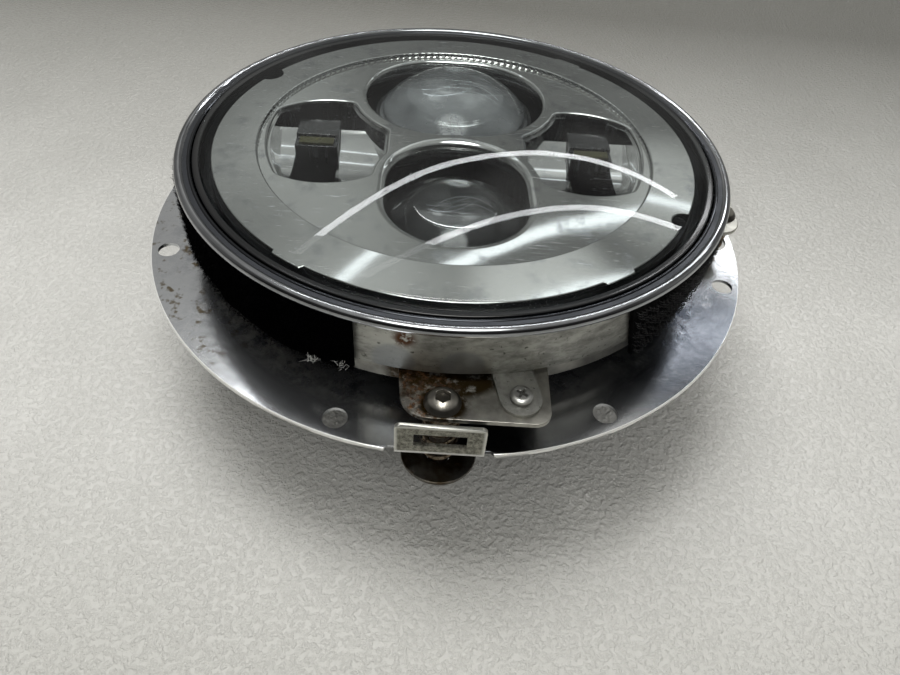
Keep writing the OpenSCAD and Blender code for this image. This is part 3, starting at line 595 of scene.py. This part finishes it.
def build_projector(name, node_name, lens, rise, material):
    """A projector lens: a flange, a short wall and a spherical cap of the given rise."""
    radius, base, wall_h = lens["radius"], lens["base"], 4
    cap_r = (radius ** 2 + rise ** 2) / (2 * rise)
    middle = base + wall_h + rise - cap_r
    r = np.linspace(0, radius - 0.3, 32)
    dome = np.stack([r, middle + np.sqrt(cap_r ** 2 - r ** 2)], -1)
    wall = np.array([[radius, base + 3.6], [radius, base + 2.2], [radius + 0.2, base + 2.0],
                     [radius + 1.0, base + 2.0], [radius + 1.2, base + 1.8], [radius + 1.2, base + 0.2],
                     [radius + 1.0, base], [0, base]])
    piece = spun(name, np.concatenate([dome, wall]), closed=False, steps=128,
                 centre=lens["centre"])
    place(piece, material, "lamp", node_name)


def in_low(x, y, grow):
    """Inside the opening of the low beam: a circle stretched sideways."""
    stretch, radius = 4.9, 29.6
    return np.hypot(np.maximum(abs(x) - stretch, 0), y - LOW_OPENING_Y) < radius + grow


def in_high(x, y, grow):
    """Inside the opening of the high beam: a circle stretched along Y."""
    stretch, radius = 5.3, 25.0
    return np.hypot(x, np.maximum(abs(y - HIGH_OPENING_Y) - stretch, 0)) < radius + grow


def in_side(side):
    """Inside a side opening: two arcs and a straight inner flank, kept off the middle openings."""
    middle_x, middle_y = SIDE_OPENING
    radius, flank_x = 27.0, 23.3
    outer_y, outer_r = 5.0, 65.3
    low_web, high_web = 3.5, 2.0

    def inside(x, y, grow):
        own = np.hypot(x - side * middle_x, y - middle_y) < radius + grow
        rim = np.hypot(x, y - outer_y) < outer_r + grow
        flank = side * x > flank_x - grow
        return own & rim & flank & ~in_low(x, y, low_web - grow) & ~in_high(x, y, high_web - grow)

    return inside


def outline(inside, centre, grow, count):
    """The edge of a shape seen from its centre: how far each direction stays inside, smoothed a little."""
    a = np.linspace(0, 2 * np.pi, count, endpoint=False)
    pace = 0.02
    out = np.arange(0, 70, pace)[:, None]
    x, y = centre[0] + out * np.cos(a), centre[1] + out * np.sin(a)
    within = inside(x, y, grow) & (np.hypot(x, y) < STEP_R - 0.75 + grow)
    r = np.argmin(within, axis=0) * pace
    r = sum(np.roll(r, k) for k in range(-3, 4)) / 7
    return np.stack([centre[0] + r * np.cos(a), centre[1] + r * np.sin(a)], -1)


def rim_line(angles, tabs):
    """The bezel's outer edge as a radius for each angle: a circle with three tabs and two round notches."""
    tab_half, tab_out, notch_r = 5.2, 1.2, 5.0
    r = np.full(len(angles), RIM_R)
    if tabs:
        for tab in (-125.5, -56.5, 54.5):
            gap = angles - math.radians(tab)
            r[(abs(np.sin(gap)) * RIM_R < tab_half) & (np.cos(gap) > 0)] += tab_out
    for notch in (-30.5, 149.5):
        gap = angles - math.radians(notch)
        off = (RIM_R + 1) * np.sin(gap)
        cut = (abs(off) < notch_r) & (np.cos(gap) > 0)
        r[cut] = np.minimum(r[cut], (RIM_R + 1) * np.cos(gap[cut]) - np.sqrt(notch_r ** 2 - off[cut] ** 2))
    return r


def build_bezel(material):
    """The chromed bezel: a slightly coned mirror ring, a fluted step, a flat panel and walled openings.

    The flats are filled between outlines, and each edge is a quarter round carried along its outline
    with a narrow strip beside it that keeps the shading of the flat.
    """
    across, around = 360, 960
    skirt_foot, slope = 72.1, 0.06
    points, faces = [], []
    total = 0

    def add(block_points, block_faces):
        nonlocal total
        points.append(np.asarray(block_points, float))
        faces.extend([[int(k) + total for k in face] for face in block_faces])
        total += len(block_points)

    quarter = np.radians(np.linspace(0, 90, 9))
    side_x, side_y = SIDE_OPENING
    shapes = [(in_low, (0, LOW_OPENING_Y), 1.6), (in_high, (0, HIGH_OPENING_Y), 3.0),
              (in_side(-1), (-side_x, side_y), 0.9), (in_side(1), (side_x, side_y), 0.9)]
    tops, unders = [], []
    for inside, centre, lip in shapes:
        rows = [(0.4, PANEL_TOP), (0.34, PANEL_TOP)]
        rows += [(0.3 - lip * math.sin(q), PANEL_TOP - lip + lip * math.cos(q)) for q in quarter[1:]]
        rows += [(0.3 - lip, PANEL_TOP - lip - 0.2), (0.3 - lip, WALL_FOOT + 0.3), (0.5 - lip, WALL_FOOT),
                 (0.7, WALL_FOOT), (0.9, WALL_FOOT + 0.3), (0.9, PANEL_UNDER)]
        lines = {grow: outline(inside, centre, grow, across) for grow in {row[0] for row in rows}}
        loft = np.concatenate([np.column_stack([lines[grow], np.full(across, z)]) for grow, z in rows])
        add(loft, grid_faces(len(rows), across, False, True))
        tops.append(loft[:across])
        unders.append(loft[-across:])
    a = np.linspace(0, 2 * np.pi, around, endpoint=False)

    def cone(r):
        return RING_TOP - slope * (r - STEP_R - 0.4)

    outer, plain_outer = rim_line(a, True), rim_line(a, False)
    fluted = STEP_R - 0.05 + 0.12 * np.sin(a * 160)
    ring = [(STEP_R - 0.22, PANEL_TOP), (STEP_R - 0.16, PANEL_TOP), (fluted, PANEL_TOP + 0.1),
            (fluted, RING_TOP - 0.4), (STEP_R + 0.12, RING_TOP - 0.1), (STEP_R + 0.4, RING_TOP),
            (STEP_R + 0.5, cone(STEP_R + 0.5)), (outer - 0.5, cone(outer - 0.5)),
            (outer - 0.4, cone(outer - 0.4)), (outer - 0.12, cone(outer) - 0.1),
            (outer, cone(outer) - 0.4), (outer, 75.0), (plain_outer, 74.9), (plain_outer, skirt_foot + 0.2),
            (plain_outer - 0.2, skirt_foot), (plain_outer - 1.5, skirt_foot),
            (plain_outer - 1.5, PANEL_UNDER), (STEP_R + 1, PANEL_UNDER)]
    loft = np.concatenate([np.column_stack([r * np.cos(a), r * np.sin(a), np.broadcast_to(z, a.shape)])
                           for r, z in ring])
    add(loft, grid_faces(len(ring), len(a), False, True))
    for edge, holes, flip in ((loft[:around], tops, False), (loft[-around:], unders, True)):
        loops = [edge] + holes
        flat = np.concatenate(loops)
        filled = tessellate_polygon([[Vector((x, y, 0)) for x, y, z in loop] for loop in loops])
        add(flat, [face[::-1] if flip else face for face in filled])
    turn = math.radians(UNIT_TURN)
    points = np.concatenate(points) @ np.array([[math.cos(turn), math.sin(turn), 0],
                                                [-math.sin(turn), math.cos(turn), 0], [0, 0, 1]])
    piece = to_object("bezel_plated", points, faces)
    clean(piece.data)
    place(piece, material, "lamp", "bezel")


def build_bead(material, dark_material):
    """The rolled bead and the rolled inner lip of the retaining ring: two circles turned round."""
    for name, r, z, thick, finish in (("retaining_ring_bead", 91.4, 75.1, 1.62, material),
                                      ("retaining_ring_lip", 88.3, 75.65, 0.72, dark_material)):
        place(spun(name, circle(r, z, thick, 32)), finish, "lamp", slot=SLOT["retaining_ring"])


def build_light_trap(node_name, lens, material):
    """Thin polished steps down the inside of a projector barrel: circles turned round its axis."""
    thick, drop = 0.22, 3.2
    for k in range(4):
        r, z = lens["radius"] * (0.9 - 0.16 * k), lens["base"] - 1.0 - drop * k
        ring = spun(f"{node_name}_step_{k + 1}", circle(r, z, thick, 8), steps=96, centre=lens["centre"])
        place(ring, material, "lamp", slot=SLOT[node_name])


# Straps

def strap_body(name, span, low, steps, thick, wobble, seed):
    """A flat strap laid round the band.

    Its section is a rounded rectangle between the heights low(a) and the straps' top, carried over the
    span of angles, with a small seeded waviness on the outside.
    """
    rng = np.random.default_rng(seed)
    a = np.linspace(*span, steps)
    section = rounded([(0, 0), (1, 0), (1, 1), (0, 1)], [0.02, 0.12, 0.12, 0.02], steps=4)
    waves = np.zeros((steps, len(section)))
    for k in range(1, 7):
        phase = rng.uniform(0, 2 * np.pi, 2)
        waves += wobble / k * np.sin(k * 1.7 * np.radians(a)[:, None] * 6 + phase[0]
                                     + 3 * section[None, :, 1] * k + phase[1])
    r = STRAP_IN + thick * section[None, :, 0] + waves * (section[None, :, 0] > 0.5)
    bottom = low(a)[:, None]
    z = bottom + (STRAP_TOP - bottom) * section[None, :, 1]
    angle = np.radians(a)[:, None]
    points = np.stack([r * np.cos(angle), r * np.sin(angle), z], -1)
    piece = to_object(name, points.reshape(-1, 3), tube_faces(steps, len(section)))
    clean(piece.data)
    return piece


def ribbons(name, roots, tips, bends, width):
    """Many fine fibres: each is a curved strip of three cross-lines from its root to its tip."""
    n = len(roots)
    along = tips - roots
    side = np.cross(along, bends)
    side /= np.linalg.norm(side, axis=1, keepdims=True) + 1e-9
    middle = (roots + tips) / 2 + bends
    line = np.stack([roots, middle, tips], 1)
    half = (np.array([1.0, 0.8, 0.25]) * width / 2)[None, :, None] * side[:, None, :]
    points = np.stack([line - half, line + half], 2).reshape(-1, 3)
    base = np.arange(n)[:, None] * 6
    quads = np.concatenate([base + [0, 1, 3, 2], base + [2, 3, 5, 4]], 0)
    return to_object(name, points, quads)


def loop_low(a):
    """Lower edge of the fuzzy strap: level, then a slant up to the pointed end."""
    corner, slant = -160, 1.88
    end = LOOP_FOOT + slant * STRAP_OUT * np.sin(np.radians(corner - a))
    return np.where(a > corner, LOOP_FOOT, end).clip(LOOP_FOOT, STRAP_TOP - 0.3)


def hook_low(a):
    """Lower edge of the hook strap: a steep end, then a slow rise, cut into small teeth."""
    corner, slow, steep, tooth = -50.5, 0.3057, 3.27, 0.7
    rise = np.where(a > corner, slow * STRAP_OUT * np.sin(np.radians(a - corner)),
                    steep * STRAP_OUT * np.sin(np.radians(corner - a)))
    teeth = tooth * np.abs((a % 1.0) * 2 - 1)
    return (HOOK_FOOT + rise + teeth).clip(HOOK_FOOT, STRAP_TOP - 0.3)


def build_loop_strap(material, fuzz_material, lint_material):
    """The fuzzy strap: a padded body with thousands of short curled fibres, and a little lint."""
    rng = np.random.default_rng(11)
    body = strap_body("loop_strap_body", (-166.4, -104), loop_low, 200, 2.2, 0.3, 5)
    place(body, material, "lamp", "loop_strap")
    count = 9000
    a = rng.uniform(-166, -104, count)
    low = loop_low(a)
    z = low + (STRAP_TOP - low) * rng.uniform(-0.02, 1.02, count)
    out, round_ = compass(np.radians(a))
    roots = out * (STRAP_OUT + rng.uniform(0.0, 0.7, (count, 1))) + z[:, None] * UP
    lean = rng.normal(0, 1.0, (count, 2))
    length = rng.uniform(0.5, 2.0, (count, 1))
    tips = roots + length * (out * 0.75 + round_ * lean[:, :1] * 0.7 + UP * lean[:, 1:] * 0.7)
    bends = rng.normal(0, 0.25, (count, 3)) * length
    fuzz = ribbons("loop_strap_fuzz", roots, tips, bends, 0.14)
    place(fuzz, fuzz_material, "lamp", slot=SLOT["loop_strap"])
    spots = np.array([[-111.5, 54.5], [-110.9, 55.3], [-105.5, 57.0]])
    n = 60
    pick = rng.integers(0, len(spots), n)
    a = np.radians(spots[pick, 0] + rng.normal(0, 0.5, n))
    z = spots[pick, 1] + rng.normal(0, 0.6, n)
    roots = compass(a)[0] * rng.uniform(93.2, 94.0, (n, 1)) + z[:, None] * UP
    tips = roots + rng.normal(0, 0.7, (n, 3))
    lint = ribbons("loop_strap_lint", roots, tips, rng.normal(0, 0.4, (n, 3)), 0.16)
    place(lint, lint_material, "lamp", slot=SLOT["loop_strap"])


def build_hook_strap(material, hook_material):
    """The hook strap: a woven tape with rows of small bent hooks."""
    body = strap_body("hook_strap_body", (-54.6, 2.0), hook_low, 420, 1.6, 0.08, 8)
    place(body, material, "lamp", "hook_strap")
    pitch, rows = 1.5, 1.35
    a = np.arange(-54.3, 1.8, math.degrees(pitch / STRAP_OUT))
    z = np.arange(HOOK_FOOT + 0.7, STRAP_TOP - 0.5, rows)
    aa, zz = np.meshgrid(a, z, indexing="ij")
    aa = aa + (np.arange(len(z)) % 2) * math.degrees(pitch / STRAP_OUT / 2)
    keep = zz > hook_low(aa) + 0.7
    aa, zz = np.radians(aa[keep]), zz[keep]
    rng = np.random.default_rng(4)
    n = len(aa)
    t, bend = np.linspace(0, 1, 6), 2.3
    lift = 1.5 * np.sin(t * bend)
    lean = 0.8 * (1 - np.cos(t * bend))
    turn = rng.choice([-1.0, 1.0], n) * rng.uniform(0.7, 1.1, n)
    steps, around, tube = len(t), 5, 0.17
    sides = np.linspace(0, 2 * np.pi, around, endpoint=False)
    out, round_ = compass(aa)
    core = (out[:, None] * (STRAP_IN + 1.5 + lift[None, :, None]) + zz[:, None, None] * UP
            + round_[:, None] * (lean[None, :, None] * turn[:, None, None]))
    ring = (np.cos(sides)[None, None, :, None] * UP
            + np.sin(sides)[None, None, :, None] * (out[:, None, None] * 0.5 + round_[:, None, None] * 0.85))
    points = (core[:, :, None] + tube * ring).reshape(-1, 3)
    size = steps * around
    one = grid_faces(steps, around, False, True)
    faces = (one[None] + (np.arange(n) * size)[:, None, None]).reshape(-1, 4).tolist()
    faces += [list(range(size * k - around, size * k)) for k in range(1, n + 1)]
    hooks = to_object("hook_strap_hooks", points, faces)
    place(hooks, hook_material, "lamp", slot=SLOT["hook_strap"])


# Adjusters

def build_spring(name, node_name, angle, radii, material):
    """A coil of round wire: its middle line is a helix whose pitch closes up at both ends.

    radii holds the middle line's radius at foot and head. The top one widens towards its head, where the
    screw in it leans furthest as the lamp is aimed.
    """
    turns, wire = 6, 1.1
    foot_r, head_r = radii
    low, high = FOOT_TOP + 0.7, TAB_BOTTOM - 0.8
    steps, sides = 6 * 40, 12
    t = np.linspace(0, 1, steps)
    ease = t - np.sin(2 * np.pi * t) / 25
    turn = 2 * np.pi * turns * t
    b = np.linspace(0, 2 * np.pi, sides, endpoint=False)
    r = (foot_r + (head_r - foot_r) * t)[:, None] + wire / 2 * np.cos(b)[None, :]
    z = (low + (high - low) * ease)[:, None] + wire / 2 * np.sin(b)[None, :]
    middle = STATION_R * np.array([math.cos(math.radians(angle)), math.sin(math.radians(angle))])
    points = np.stack([middle[0] + r * np.cos(turn)[:, None], middle[1] + r * np.sin(turn)[:, None], z], -1)
    piece = to_object(name, points.reshape(-1, 3), tube_faces(steps, sides))
    clean(piece.data)
    piece.data.materials.append(material)
    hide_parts(node_name)
    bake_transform(piece)


# Surroundings

def build_floor():
    """A pale embossed floor with painted shade: brightest before the lamp, a little darker towards the viewer
    and much darker far away.
    """
    size, lie = 3000.0, -0.05
    cell = 3.2
    corners = [(-size, -size, lie), (size, -size, lie), (size, size, lie), (-size, size, lie)]
    floor = to_object("floor", corners, [[0, 1, 2, 3]])
    material, tree, where = begin("pale_laminate")
    away = axis(tree, where, "Y")
    far = ramp(tree, away, 0.0, 330 * MM)
    close = ramp(tree, away, -85 * MM, -170 * MM)
    shade = patches(tree, where, 60, 0.3, 0.7)
    colour = tinted(tree, shade, linear("D2D1CC"), linear("CAC9C4"))
    # Painted shade: slightly darker towards the viewer and much darker far beyond the lamp.
    colour = tinted(tree, close, colour, linear("BDBCB6"))
    colour = tinted(tree, far, colour, linear("6C6B65"))
    cells = node(tree, "Mapping", {"Vector": where, "Scale": (1 / (cell * MM), 1 / (cell * MM), 1.0)})
    warp = node(tree, "TexNoise", {"Vector": cells.outputs[0], "Scale": 0.7, "Detail": 2.0})
    moved = node(tree, "VectorMath", {0: cells.outputs[0], 1: warp.outputs["Color"]}, operation="ADD")
    pebbles = node(tree, "TexVoronoi", {"Vector": moved.outputs[0], "Scale": 1.0}, feature="SMOOTH_F1")
    crumbs = patches(tree, where, 2.0, 0.4, 0.7, detail=3.0)
    height = calc(tree, "ADD", pebbles.outputs["Distance"], crumbs)
    skin(tree, colour, 0.33, normal=bumped(tree, height, 0.8, 0.5))
    floor.data.materials.append(material)


def build_world():
    """A dim studio: pale overhead for the light itself, and another view of it for mirrors and glass.

    Those see mid grey past the lamp, dark behind the viewer, a pale ceiling and a few soft lights. Each
    light is (direction, inner and outer angle in degrees, strength).
    """
    soft_lights = (((-0.32, 0.73, 0.605), 4, 18, 0.2), ((0.318, 0.795, 0.516), 2, 9, 0.45),
                   ((0.154, 0.669, 0.727), 2, 9, 0.6), ((0.0, -0.25, 0.968), 10, 19, 8.0))
    world = bpy.data.worlds.new("studio")
    bpy.context.scene.world = world
    world.use_nodes = True
    tree = world.node_tree
    tree.nodes.clear()
    direction = node(tree, "TexCoord").outputs["Generated"]
    axes = node(tree, "SeparateXYZ", {0: direction})
    light = ramp(tree, axes.outputs["Z"], 0.05, 0.9, 0.05, 0.55, smooth=True)
    ahead = ramp(tree, axes.outputs["Y"], -0.45, 0.35, 0.03, 0.24, smooth=True)
    high = ramp(tree, axes.outputs["Z"], 0.66, 0.78, 0.0, 0.34, smooth=True)
    total = calc(tree, "ADD", ahead, high)
    for toward, inner, outer, gain in soft_lights:
        along = node(tree, "VectorMath", {0: direction, 1: toward}, operation="DOT_PRODUCT").outputs["Value"]
        edges = [math.cos(math.radians(outer)), math.cos(math.radians(inner))]
        total = calc(tree, "ADD", total, ramp(tree, along, *edges, 0.0, gain, smooth=True))
    cloud = node(tree, "TexNoise", {"Vector": direction, "Scale": 2.2, "Detail": 2.0})
    mirrored = calc(tree, "MULTIPLY", total, ramp(tree, cloud.outputs[0], 0.3, 0.7, 0.55, 1.45))
    path = node(tree, "LightPath")
    seen = sums(tree, path.outputs["Is Glossy Ray"], "MAXIMUM", path.outputs["Is Transmission Ray"])
    level = node(tree, "Mix", {0: seen, 2: light, 3: mirrored}).outputs[0]
    shade = node(tree, "Background", {"Color": linear("F5F4F0"), "Strength": level})
    node(tree, "OutputWorld", {"Surface": shade.outputs[0]})


def build_lamp(name, spot, aim, size, power):
    """A rectangular soft lamp at spot, turned to face aim, in millimetres and watts."""
    lamp = bpy.data.lights.new(name, "AREA")
    lamp.shape = "RECTANGLE"
    lamp.size, lamp.size_y = size[0] * MM, size[1] * MM
    lamp.energy = power
    holder = bpy.data.objects.new(name, lamp)
    holder.visible_glossy = False
    holder.visible_transmission = False
    bpy.context.scene.collection.objects.link(holder)
    spot, aim = np.array(spot, float), np.array(aim, float)
    back = (spot - aim) / np.linalg.norm(spot - aim)
    right = np.cross([0, 1, 0.01], back)
    right /= np.linalg.norm(right)
    up = np.cross(back, right)
    turn = Matrix([[right[k], up[k], back[k], spot[k] * MM] for k in range(3)] + [[0, 0, 0, 1]])
    holder.matrix_world = turn
    return holder


def build_strip(name, directions):
    """A curved tube lamp that only mirrors see: a ribbon along directions from the cover lens.

    Behind the clear cover, which dims nothing here, its light is weaker, as the coated real one leaves it.
    """
    centre = np.array([10.0, -45.0, 84.0])
    distance, width, strength, behind_cover = 1500, 29, 20, 0.12
    steps, smooth = 60, 4
    d = np.asarray(directions, float)
    t = np.linspace(0, 1, len(d))
    fine = np.linspace(0, 1, steps)
    d = np.stack([np.interp(fine, t, d[:, k]) for k in range(3)], -1)
    kernel = np.ones(2 * smooth + 1) / (2 * smooth + 1)
    padded = np.concatenate([np.repeat(d[:1], smooth, 0), d, np.repeat(d[-1:], smooth, 0)])
    d = np.stack([np.convolve(padded[:, k], kernel, "valid") for k in range(3)], -1)
    d /= np.linalg.norm(d, axis=1, keepdims=True)
    along = np.gradient(d, axis=0)
    side = np.cross(d, along)
    side /= np.linalg.norm(side, axis=1, keepdims=True)
    middle = centre + d * distance
    points = np.stack([middle - side * width / 2, middle + side * width / 2], 1).reshape(-1, 3)
    strip = to_object(name, points, grid_faces(steps, 2))
    material, tree, _ = begin(name + "_glow")
    layers = node(tree, "LightPath").outputs["Transparent Depth"]
    power = ramp(tree, layers, 0.0, 1.0, strength, strength * behind_cover)
    glow = node(tree, "Emission", {"Color": linear("FBFDFF"), "Strength": power})
    end(tree, glow.outputs[0])
    strip.data.materials.append(material)
    strip.visible_diffuse = False
    strip.visible_shadow = False
    strip.visible_camera = False


def build_camera():
    """The photograph's view: a wide lens, close, turned a little about its own axis."""
    camera = bpy.data.cameras.new("view")
    camera.lens = 27.0
    camera.sensor_width = 36.0
    camera.clip_start = 0.01
    holder = bpy.data.objects.new("view", camera)
    bpy.context.scene.collection.objects.link(holder)
    right = (0.99599438, 0.06464469, 0.06177581)
    up = (-0.08941581, 0.72007122, 0.688115)
    back = (0.0, -0.69088241, 0.72296715)
    spot = (0.00387338, -0.21041667, 0.19740267)
    holder.matrix_world = Matrix([[right[k], up[k], back[k], spot[k]] for k in range(3)] + [[0, 0, 0, 1]])
    bpy.context.scene.camera = holder


build_camera()
build_floor()
build_world()
build_lamp("overhead_softbox", (-250, 330, 1300), (0, -40, 40), (900, 700), 15)
build_lamp("front_fill", (500, -900, 900), (0, -40, 40), (600, 500), 3)
build_strip("far_strip", [(-0.45, 0.405, 0.795), (-0.408, 0.454, 0.792), (-0.296, 0.572, 0.765),
                          (-0.183, 0.667, 0.722), (-0.07, 0.74, 0.668), (0.086, 0.789, 0.608),
                          (0.217, 0.804, 0.553), (0.389, 0.773, 0.501), (0.517, 0.701, 0.491)])
build_strip("near_strip", [(-0.29, 0.36, 0.885), (-0.242, 0.404, 0.882), (-0.055, 0.533, 0.844),
                           (0.108, 0.619, 0.778), (0.243, 0.66, 0.711), (0.351, 0.673, 0.65),
                           (0.505, 0.643, 0.575), (0.56, 0.615, 0.555)])

build_bezel(chrome_on_abs())
# The lip's dark grey colour is a painted dark reflection.
build_bead(plain("polished_ring_bead", "A6A8AB", 0.09, 1.0), plain("ring_lip_painted_dark_reflection", "404246", 0.1, 1.0))
mirror_coat = chrome_on_abs("aluminised_reflector", "D6D6D5", 0.02, 0.03)
bowl_coat = chrome_on_abs("aluminised_bowl", "D6D6D5", 0.02, 0.07, True)
rubber = plain("moulded_epdm_rubber", "17181A", 0.45, grain=0.5)
gloss_black = plain("glossy_black_abs", "060709", 0.12, coat=0.3)
post_black = striped_black()
matte_black = plain("matte_black_nylon", "1A1B1D", 0.6, grain=0.6)
black_casting = plain("black_coated_casting", "16171A", 0.42, 0.2, grain=1.2)
zinc = rusting_steel("zinc_plated_steel", "7C7A74", 0.1)
carrier_finish = rusting_steel("worn_carrier_steel", "B4B2AA", 0.36, 1.6, ((-4, -96, 55), 6, 15),
                               collar=SCREW_HEAD)
rusty = rusting_steel("rusty_screw_steel", "BEBAB0", 0.5, 2.0, top=55.9, recess=57.0)
rusty_coil = rusting_steel("rusty_spring_wire", "C0B098", 0.34, 1.6)
ring_steel = worn_ring_steel()
stainless = polished_stainless()

build_cover(hard_coated_polycarbonate())
build_seal(plain("glossy_seal_rubber", "050608", 0.16))
build_projector("low_beam_lens_dome", "low_beam_lens", LOW_LENS, 12.4,
                projector_glass("low_projector_glass", 0.45, "E6EAEC", 30))
build_projector("high_beam_lens_dome", "high_beam_lens", HIGH_LENS, 8,
                projector_glass("high_projector_glass", 0.03, "E2E4E6", -30))
build_light_trap("low_beam_barrel", LOW_LENS, mirror_coat)
build_light_trap("high_beam_barrel", HIGH_LENS, mirror_coat)
build_loop_strap(plain("black_loop_fabric", "020203", 0.95, grain=0.8, ior=1.05),
                 plain("black_loop_fibre", "050506", 0.85, ior=1.06), plain("white_lint", "D9DAD6", 0.9))
build_hook_strap(plain("black_hook_tape", "040405", 0.7, grain=0.8, ior=1.1),
                 plain("black_nylon_hooks", "0A0A0C", 0.4, ior=1.4))
build_spring("top_spring_coil", "top_spring", TOP_ANGLE, (4.35, 4.7), rusty_coil)
build_spring("side_spring_coil", "side_spring", 0.0, (4.05, 4.05), rusty_coil)

FINISHES = {
    "left_reflector": (bowl_coat, 0.35), "right_reflector": (bowl_coat, 0.35),
    "low_beam_barrel": (gloss_black, 0.4), "high_beam_barrel": (gloss_black, 0.4),
    "left_led_post": (post_black, 0.4), "right_led_post": (post_black, 0.4),
    "lamp_housing": (black_casting, 0.5), "heat_sink": (black_casting, 0.3),
    "retaining_ring": (ring_steel, 0.25), "carrier_ring": (carrier_finish, 0.25),
    "mounting_plate": (stainless, 0), "top_lug": (zinc, 0.25), "side_lug": (zinc, 0.25),
    "pivot_lug": (zinc, 0.25), "top_adjuster_screw": (rusty, 0.25), "side_adjuster_screw": (rusty, 0.25),
    "top_adjuster_nut": (rusty, 0.3), "side_adjuster_nut": (rusty, 0.3),
    "ring_screws": (rusting_steel("nickel_plated_steel", "D8D8D4", 0.0, recess=57.4), 0.15),
    "ring_nuts": (zinc, 0.2), "pivot_nut": (zinc, 0.3), "pivot_stud": (zinc, 0.25),
    "pivot_socket": (matte_black, 0.4), "heat_sink_screws": (zinc, 0.2),
    "cable_gland": (rubber, 0.4), "vent_plug": (matte_black, 0.15),
}
for name, (finish, width) in FINISHES.items():
    rim = (PLATE_R - 0.3, PLATE_TOP) if finish is stainless else None
    place(softened(name, width, rim=rim), finish, BODY[name], name)

KEPT = {
    "low_beam_reflector": mirror_coat, "high_beam_reflector": gloss_black,
    "cutoff_shield": plain("black_oxide_steel", "1C1C1E", 0.5, 0.6),
    "low_beam_led_board": plain("brown_solder_mask", "2A2018", 0.5, speck="8A6A2C"),
    "heat_sink_gasket": rubber, "pivot_liner": plain("white_nylon", "D2D2CB", 0.5),
    "driver_board": plain("green_solder_mask", "14402A", 0.4, speck="B8B8A8"),
    "left_led": plain("yellow_led_phosphor", "3A3818", 0.3, speck="C4B440"),
}
KEPT["high_beam_led_board"] = KEPT["low_beam_led_board"]
KEPT["right_led"] = KEPT["left_led"]
for name, finish in KEPT.items():
    mesh = frame["nodes"][name].data
    mesh.materials.clear()
    mesh.materials.append(finish)

bpy.context.scene.view_settings.view_transform = "Standard"
